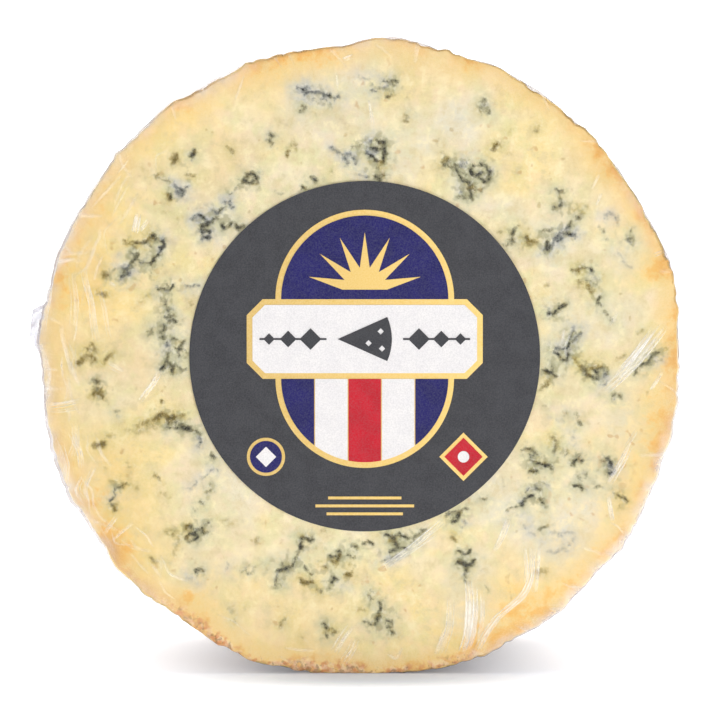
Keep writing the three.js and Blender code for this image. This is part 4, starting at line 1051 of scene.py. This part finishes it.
# %% lay the creases
pieces = []
along, across = crease_form[:, 0], crease_form[:, 1]
fade = (1 - across ** 2).clip(0, 1) ** 1.5 * np.sin(math.pi * np.clip(along, 0, 1)) ** 0.6
for width, white, path in paths:
    points = laid(path, width, 0.05 + 0.05 * width)  # wide folds stand higher
    if points[:, 2].min() < 1.0:  # none under the foot
        continue
    copy = crease.copy()
    copy.data = crease.data.copy()
    bpy.context.scene.collection.objects.link(copy)
    place(copy, points)
    mark(copy, "marks", (white * fade,) * 3)
    pieces.append(copy)
bpy.data.objects.remove(crease)
bpy.ops.object.select_all(action="DESELECT")
for copy in pieces:
    copy.select_set(True)
bpy.context.view_layer.objects.active = pieces[0]
bpy.ops.object.join()
creases = bpy.context.active_object
creases.name = creases.data.name = "film_creases"
print("creases:", len(pieces), "faces:", len(creases.data.polygons))

# %% [markdown]
# ## The ear of film
# At the seam a tab of film was left untrimmed. It is a wavy grid, drawn to the solid's outline and given a
# thickness.

# %% shape the ear
EAR_AT, EAR_HALF = 175, 4.8  # degrees: its middle and half its width
EAR_REACH, EAR_WAVE, EAR_ROOT, EAR_THICK = 4.6, 0.8, 1.5, 0.12
EAR_PEAK = 0.3  # how far along it reaches out most
ear = grid("film_ear", 48, 14, 2)
share, out = ((vertices(ear) * MM)[:, :2].T + 1) / 2  # along the rim and away from it, each 0 to 1
rise = np.sin(share / EAR_PEAK * math.pi / 2)
fall = np.cos(np.clip((share - EAR_PEAK) / (1 - EAR_PEAK), 0, 1) * math.pi / 2)
full = np.where(share < EAR_PEAK, rise, fall)
reach = (EAR_ROOT + 0.4 + EAR_REACH * np.maximum(0, full)) * out
turn = np.radians(EAR_AT - EAR_HALF + 2 * EAR_HALF * share)
rim = skin(WHEEL_RADIUS, SEAM_Y, np.degrees(turn))[0] - (0, SEAM_Y, CENTRE_Z)
rim = np.hypot(rim[:, 0], rim[:, 2])
radius = np.minimum(rim - EAR_ROOT + reach, WHEEL_RADIUS + 5)
wave = EAR_WAVE * 0.8 * np.sin(share * 3 * math.pi) * out + 0.25 * np.sin(share * 11 * math.pi + 1) * out ** 2
place(ear, np.stack([radius * np.cos(turn), SEAM_Y + wave, CENTRE_Z + radius * np.sin(turn)], 1))
thicken = ear.modifiers.new("thickness", "SOLIDIFY")
thicken.thickness, thicken.offset = EAR_THICK * MM, 0
bpy.ops.object.modifier_apply(modifier="thickness")
mark(ear, "marks", (0.7 + 0.3 * np.sin(np.arange(len(ear.data.vertices)) * 0.37),) * 3)
print("ear:", len(ear.data.polygons), "faces")

# %% [markdown]
# ## The finish of the paste
# Ivory with warm and greenish clouds, paler round the veins and golden towards the rind. The veins' stored
# strength is broken up by fine noise, so their edges fray.

# %% read what the mesh stores
def stored(start, name):
    """The four values that `mark` stored under a name."""
    kept = start.node("Attribute", {"attribute_name": name}, out="Color")
    split = kept.node("SeparateColor", None, {"Color": kept})
    three = [Wire(split.tree, split.socket.node.outputs[i]) for i in range(3)]
    return (*three, Wire(kept.tree, kept.socket.node.outputs["Alpha"]))


# %% paste: ivory and its curds
material, start, shader, spot = finish("blue_veined_paste")
vein, tint, halo, reach = stored(start, "marks")
pale, warm, haze, glow = stored(start, "clouds")
crumb, pale_edge, painted_edge_shade, amber_edge = stored(start, "edge")

broad, cloud, curd = noise(spot, 12, 2), noise(spot, 4.5, 3), noise(spot, 1.7, 3, 0.6)
speck, grain, pinkish = noise(spot, 0.7, 3, 0.6), noise(spot, 0.3, 2), noise(spot, 3.1, 2)
mottle, greenish = noise(spot, 2.3, 4, 0.7), noise(spot, 2.6, 2)
ivory = (cloud + (curd - 0.5) * 0.6).step(0.35, 0.65).pick(colour(230, 214, 171), colour(242, 229, 194))
ivory = coated(
    ivory,
    (broad.step(0.47, 0.6) * (1 - halo) * 0.8, colour(244, 223, 157)),  # straw drifts, away from the blue
    (pinkish.step(0.44, 0.66) * 0.5, colour(241, 218, 190)),
    (greenish.step(0.44, 0.66) * 0.55, colour(222, 218, 162)),
    (patchy(warm, cloud, 0.6, 1.6), colour(242, 214, 144)),
    (patchy(pale, curd, 0.85, 1.6), colour(224, 219, 202)),
    (halo * 0.7, tint.step(0.4, 0.9).pick(colour(220, 217, 184), colour(226, 216, 156))),  # greyed by blue
    (mottle.step(0.5, 0.66) * 0.6, colour(251, 239, 198)),  # lighter and darker curds
    (mottle.step(0.5, 0.34) * 0.6, colour(218, 201, 152)),
)
print("nodes of the ivory:", len(material.node_tree.nodes))

# %% paste: towards the rind
# Golden, painted paler low on the wheel as painted light, with blotches, crumbs at the foot and a darker last
# line, amber and in places greyed by painted shade.
inward = (1 - reach) * WHEEL_RADIUS
drift = (broad - 0.5) * 12 + (cloud - 0.5) * 9 + (mottle - 0.5) * 8
height = spot.node("SeparateXYZ", None, {"Vector": spot}, "Z")
# painted light: the golden band is paler in its lowest 30 mm, brightening the foot where the floor's shadow
# darkens it
golden = height.step(0.03, 0).pick(colour(240, 208, 142), colour(252, 222, 154))
ivory = ((inward + drift).step(11, 1) * 0.6).pick(ivory, golden)
blotch = (glow * (0.9 + (mottle - 0.5) * 2.6 + (cloud - 0.5) * 2.0)).clamped()
ivory = coated(
    ivory,
    (blotch * 0.85, colour(240, 202, 110)),
    ((blotch.step(0.5, 1.0) * (0.3 + curd * 0.8)).clamped(), colour(236, 180, 80)),
)
red_crumb, cream_crumb, brown_crumb = noise(spot, 1.0, 3), noise(spot, 1.1, 3), noise(spot, 0.7, 2)
crumbly = crumb.step(0.05, 0.8)
ivory = coated(
    ivory,
    (crumbly * 0.5, colour(246, 202, 122)),
    ((crumb * 0.24 + red_crumb).step(0.6, 0.76) * crumbly * 0.75, colour(218, 132, 74)),
    ((crumb * 0.16 + cream_crumb).step(0.58, 0.72) * crumbly * 0.5, colour(255, 236, 200)),
    ((crumb * 0.22 + brown_crumb).step(0.7, 0.82) * crumbly * 0.55, colour(128, 88, 44)),
    (patchy(amber_edge, mottle, 0.55, 2.4), colour(228, 162, 68)),
    # painted shade: the paste's very edge greyed and browned
    (painted_edge_shade * (mottle + cloud - 0.5).step(0.35, 0.7) * 0.7, colour(198, 154, 110)),
    (patchy(pale_edge, mottle, 0.5, 2.0), colour(253, 242, 222)),
)
print("nodes so far:", len(material.node_tree.nodes))

# %% paste: the blue
# A greyish murk, moist white beside it, the mould itself and its nearly black core. Each goes from slate in
# the blue strokes to olive in the young ones.
tone = (tint + (noise(spot, 1.4, 2) - 0.5) * 1.3).clamped()
blob = noise(spot, 0.85, 3, 0.6)
ravel = vein * 0.95 + haze * 0.3 + (blob - 0.5) * 1.9 * haze.step(0.02, 0.35)
stain = ravel.step(0.14, 0.98)
core = (vein + (blob - 0.5) * 1.7).step(0.67, 1.0)
murk = (haze * 0.8 + halo * 0.35 + (curd - 0.5) * 1.7 * halo.step(0.0, 0.4)).clamped()
murk_colour = tone.step(0.5, 0.95).pick(colour(182, 182, 146), colour(190, 170, 76))
murk_colour = tone.step(0.42, 0.1).pick(murk_colour, colour(176, 180, 184))
face = (murk * 0.85).pick(ivory, murk_colour)
face = ((haze * noise(spot, 1.0, 2).step(0.54, 0.66)) * 0.75).pick(face, colour(242, 238, 222))
mould = tone.step(0.5, 0.95).pick(colour(98, 94, 60), colour(126, 104, 16))
mould = tone.step(0.45, 0.05).pick(mould, colour(94, 99, 98))
face = (stain * 0.92).pick(face, mould)
core_colour = tone.step(0.55, 0.95).pick(colour(5, 4, 1), colour(108, 90, 18))
face = (core * 0.94).pick(face, core_colour)
print("nodes with the blue:", len(material.node_tree.nodes))

# %% paste: flecks and shine
# Flecks near the veins, stray brown specks elsewhere, and the shine of curds.
near = halo.step(0.05, 0.6)
fleck = (noise(spot, 1.2, 2) + halo * 0.2).step(0.6, 0.76) * near * (1 - stain)
face = (fleck * 0.5).pick(face, colour(140, 134, 88))
stray = (noise(spot, 1.6, 1) + (broad - 0.5) * 0.3).step(0.7, 0.8) * inward.step(3, 12) * (1 - near * 0.6)
face = coated(
    face,
    (stray * 0.5, broad.step(0.45, 0.55).pick(colour(168, 140, 66), colour(196, 150, 84))),
    (((grain - 0.5) * 0.3 + 0.06).clamped(), colour(250, 243, 212)),
)
feed(shader, "Base Color", face)
feed(shader, "Roughness", 0.45 + (speck - 0.5) * 0.25 + stain * 0.15)
fix(shader, {"Specular IOR Level": 0.35, "Subsurface Weight": 0.05})
fix(shader, {"Subsurface Radius": (1.0, 0.7, 0.35), "Subsurface Scale": MM})
bump(speck * 0.5 + grain * 0.3 + curd - stain * 0.8, shader, 0.25, 0.5)
paste.data.materials.append(material)
print("nodes of the paste:", len(material.node_tree.nodes))

# %% [markdown]
# ## The finish of the rind
# Tan crust, darker in its cracks and pits, under patches of grey-white bloom. Where it was cut it shows as a
# thin brown line round the face.

# %% rind material
material, start, shader, spot = finish("dry_rind")
crack, pit, back, line_dark = stored(start, "marks")
broad, cloud = noise(spot, 16, 3), noise(spot, 4, 4, 0.6)
dust, grain = noise(spot, 1.2, 4, 0.65), noise(spot, 0.35, 3)
crust = cloud.step(0.3, 0.7).pick(colour(150, 120, 82), colour(198, 168, 124))
crust = broad.step(0.35, 0.6).pick(crust, colour(182, 140, 92))
bloom = ((broad - 0.5) * 2.2 + (dust - 0.5) * 1.6 + 0.35).clamped()
crust = (bloom * 0.8).pick(crust, colour(218, 211, 192))
grey = noise(spot, 9, 3).step(0.55, 0.68) * dust.step(0.4, 0.6)
crust = (grey * 0.7).pick(crust, colour(142, 141, 126))
fissure = (noise(spot, 3.4, 3, 0.6) - 0.5).size().step(0.035, 0.0) * noise(spot, 11, 1).step(0.42, 0.56)
hole = noise(spot, 1.1, 1).step(0.66, 0.74)
crust = coated(
    crust,
    ((fissure * 0.55 + hole * 0.6).clamped(), colour(92, 72, 48)),
    (((crack * 0.75 + pit * 0.5) * (0.5 + dust)).clamped(), colour(92, 68, 44)),
)
broken = (line_dark * (cloud + (dust - 0.5) * 0.8).step(0.34, 0.6) * back.step(0.003, 0.018)).clamped()
pale_rim = line_dark.step(0.25, 0.0)
rim = broad.step(0.4, 0.6).pick(colour(238, 206, 136), colour(216, 176, 110))
rim = coated(
    rim,
    (pale_rim * 0.7, colour(250, 238, 214)),
    (broken * 0.75, cloud.step(0.4, 0.6).pick(colour(150, 128, 84), colour(118, 98, 66))),
)
crust = (back + (dust - 0.5) * 0.12).step(0.05, 0.13).pick(rim, crust)
feed(shader, "Base Color", crust)
feed(shader, "Roughness", 0.72 + (dust - 0.5) * 0.3)
bump(cloud + dust * 0.6 + grain * 0.25 - fissure * 0.7 - hole * 0.8, shader, 0.6, 0.8)
rind.data.materials.append(material)
print("nodes of the rind:", len(material.node_tree.nodes))

# %% [markdown]
# ## The finish of the film
# Clear film is nearly all see-through: it shows only as gloss, stronger where it is seen edge-on, and as
# whitish lines where it is creased, which also glow faintly as a painted highlight. So a see-through and a
# glossy shader are mixed.


# %% film material
EDGE_GLOSS = 0.55


def film_finish(name, whiteness, colour_of_crease):
    material, start, shader, spot = finish(name)
    fix(shader, {"Base Color": colour_of_crease, "Specular IOR Level": 0.5})
    fog = noise(spot, 6, 3)
    feed(shader, "Roughness", 0.12 + fog * 0.12)
    bump(noise(spot, 3.5, 2) + noise(spot, 0.9, 1) * 0.15, shader, 0.12, 0.35)
    through = start.node("BsdfTransparent")
    edge_on = start.node("Fresnel", None, {"IOR": 1.4})
    white = start.node("Attribute", {"attribute_name": "marks"}, out="Fac")
    streak = noise(spot, 1.3, 3, 0.65).step(0.36, 0.64)
    factor = white * whiteness * (0.65 + streak * 0.4)
    if name == "creased_film_painted_glow":
        # painted highlight: the creases glow faintly white, though they are no lamp
        fix(shader, {"Emission Color": (1, 1, 1, 1), "Emission Strength": 0.18})
    else:
        factor = factor + edge_on * EDGE_GLOSS - 0.01 + (fog - 0.5) * 0.02
    glossy = Wire(start.tree, shader.outputs[0])
    mixed = start.node("MixShader", None, {0: factor.clamped(), 1: through, 2: glossy})
    end = start.tree.nodes["Material Output"]
    start.tree.links.new(mixed.socket, end.inputs["Surface"])
    return material


film.data.materials.append(film_finish("clear_film", 0.42, colour(238, 236, 242)))
creases.data.materials.append(film_finish("creased_film_painted_glow", 0.8, colour(252, 247, 238)))
ear.data.materials.append(film_finish("loose_film", 0.6, colour(222, 218, 228)))
print("finishes so far:", len(bpy.data.materials))

# %% [markdown]
# ## The label
# Matt printed paper with gold foil. Its flat pieces are right as the solids have them, so they stay and get
# finishes: paper fibre in a fine relief, ink that is never quite even, foil that is darker to one side.


# %% print finishes
def print_finish(name, base, other, rough, gold=False):
    material, start, shader, spot = finish(name)
    where = spot.node("SeparateXYZ", None, {"Vector": spot})
    x = where / MM - LABEL_AT[0]  # from the middle of the label
    ink, fibre = noise(spot, 3, 3), noise(spot, 0.22, 2)
    blend = (x / (2 * LABEL_RADIUS) + 0.5) if gold else ink.step(0.35, 0.65)
    worn = colour(255, 240, 205) if gold else colour(118, 118, 120)
    shade = blend.clamped().pick(base, other)
    shade = ((fibre - 0.5) * 0.5 + 0.1).clamped().pick(shade, worn)
    feed(shader, "Base Color", shade)
    feed(shader, "Roughness", rough + (ink - 0.5) * 0.12 + (fibre - 0.5) * 0.1)
    fix(shader, {"Specular IOR Level": 0.2})
    bump(fibre + ink * 0.5, shader, 0.05, 0.4)
    return material


PRINTS = {
    "label_charcoal": print_finish("charcoal_paper", colour(60, 60, 63), colour(54, 54, 57), 0.5),
    "label_gold": print_finish("gold_foil", colour(207, 172, 92), colour(250, 210, 116), 0.42, gold=True),
    "label_white": print_finish("white_ink", colour(240, 236, 233), colour(236, 232, 230), 0.5),
    "label_navy": print_finish("navy_ink", colour(14, 8, 86), colour(20, 14, 96), 0.45),
    "label_red": print_finish("red_ink", colour(200, 10, 36), colour(188, 8, 32), 0.45),
}
slots = {part["node"]: part["material_slot"] for part in frame["record"]["subparts"]}
for name, node in frame["nodes"].items():
    if slots[name] in PRINTS:
        node.data.materials.clear()
        node.data.materials.append(PRINTS[slots[name]])
print("label pieces finished:", sum(slot in PRINTS for slot in slots.values()))

# %% [markdown]
# ## What belongs to what
# Paste, rind, film, creases and ear all stand for the one solid of wrapped cheese, and move with the whole.

# %% tell the frame
for piece in (paste, rind, film, creases, ear):
    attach(piece, "root")
    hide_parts("wrapped_cheese")
    print(piece.name, "stands for wrapped_cheese")

# %% [markdown]
# ## Floor, light and camera
# A white sweep that is lit and glows brighter than white, with a painted shadow round the foot, where it is
# darker, bluish and glows less. A large softbox overhead deepens that shadow under the rim, the white room
# lights the face, and a smaller softbox in front gives the film its gloss. A low strip of light close to the
# floor keeps the foot from going dark.

# %% white floor
floor = grid("studio_floor", 8, 8, 24, (0, 6, 0))
bpy.ops.object.transform_apply(location=True, rotation=True, scale=True)
material, start, shader, spot = finish("white_sweep_painted_shadow")
foot = spot  # the way to the strip of floor under the wheel, in metres, and longer to the front
for operation, value in (("ADD", (-0.003, 0.025, 0)), ("ABSOLUTE", (0, 0, 0)), ("SUBTRACT", (0, 0.045, 0)),
                         ("MAXIMUM", (0, 0, 0)), ("MULTIPLY", (1, 2.1, 1))):
    foot = foot.node("VectorMath", {"operation": operation}, {0: foot, 1: value})
away = foot.node("VectorMath", {"operation": "LENGTH"}, {0: foot}, "Value").step(0.006, 0.08)
# painted shadow: round the foot the floor is darker and bluish, and glows less
feed(shader, "Base Color", away.pick((0.64, 0.69, 0.78, 1), (0.94, 0.95, 0.97, 1)))
feed(shader, "Roughness", 0.6 + noise(spot, 90, 1) * 0.1)
feed(shader, "Emission Color", away.pick((0.118, 0.118, 0.128, 1), (0.46, 0.47, 0.5, 1)))
fix(shader, {"Emission Strength": 1.0})
floor.data.materials.append(material)
print("floor:", len(floor.data.polygons), "faces")

# %% white room
world = bpy.data.worlds.new("white_room")
world.use_nodes = True
background = world.node_tree.nodes["Background"]
look = Wire(world.node_tree, world.node_tree.nodes.new("ShaderNodeTexCoord").outputs["Generated"])
behind = look.node("SeparateXYZ", None, {"Vector": look}, "Y").step(-0.35, 0.55)
room = behind.pick((0.293, 0.294, 0.302, 1), (1.9, 1.9, 1.9, 1))
world.node_tree.links.new(room.socket, background.inputs["Color"])
bpy.context.scene.world = world
print("nodes of the room:", len(world.node_tree.nodes))


# %% softboxes
def softbox(name, place_at, aim, size, watts):
    bpy.ops.object.light_add(type="AREA", location=[v * MM for v in place_at])
    lamp = bpy.context.active_object
    lamp.name = name
    lamp.data.shape = "RECTANGLE"
    lamp.data.size, lamp.data.size_y = size[0] * MM, size[1] * MM
    lamp.data.energy = watts
    lamp.visible_camera = False
    lamp.rotation_euler = (Vector(aim) - Vector(place_at)).to_track_quat("-Z", "Y").to_euler()


softbox("overhead_softbox", (0, 200, 1500), (0, 0, 0), (1200, 1200), 9.4)
softbox("front_softbox", (450, -1100, 400), (0, 0, 100), (600, 600), 3.3)
softbox("foot_strip", (8, -135, 6), (0, -60, 5), (180, 8), 0.0125)
scene = bpy.context.scene
scene.view_settings.view_transform = "Standard"

# %% camera
DISTANCE, ELEVATION, LENS = 1150, math.radians(2.5), 183.3
aim = Vector((-0.19, FACE_Y, 98.8)) * MM
eye = aim + Vector((0, -math.cos(ELEVATION), math.sin(ELEVATION))) * DISTANCE * MM
bpy.ops.object.camera_add(location=eye)
camera = bpy.context.active_object
camera.rotation_euler = (aim - eye).to_track_quat("-Z", "Y").to_euler()
camera.data.lens, camera.data.sensor_width = LENS, 36
camera.data.clip_start, camera.data.clip_end = 0.01, 100
scene.camera = camera
print("camera at:", tuple(round(c, 3) for c in eye))

# %% sizes for the record
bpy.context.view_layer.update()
for piece in (paste, rind, film, creases, ear):
    print(piece.name, "triangles:", sum(len(p.vertices) - 2 for p in piece.data.polygons))
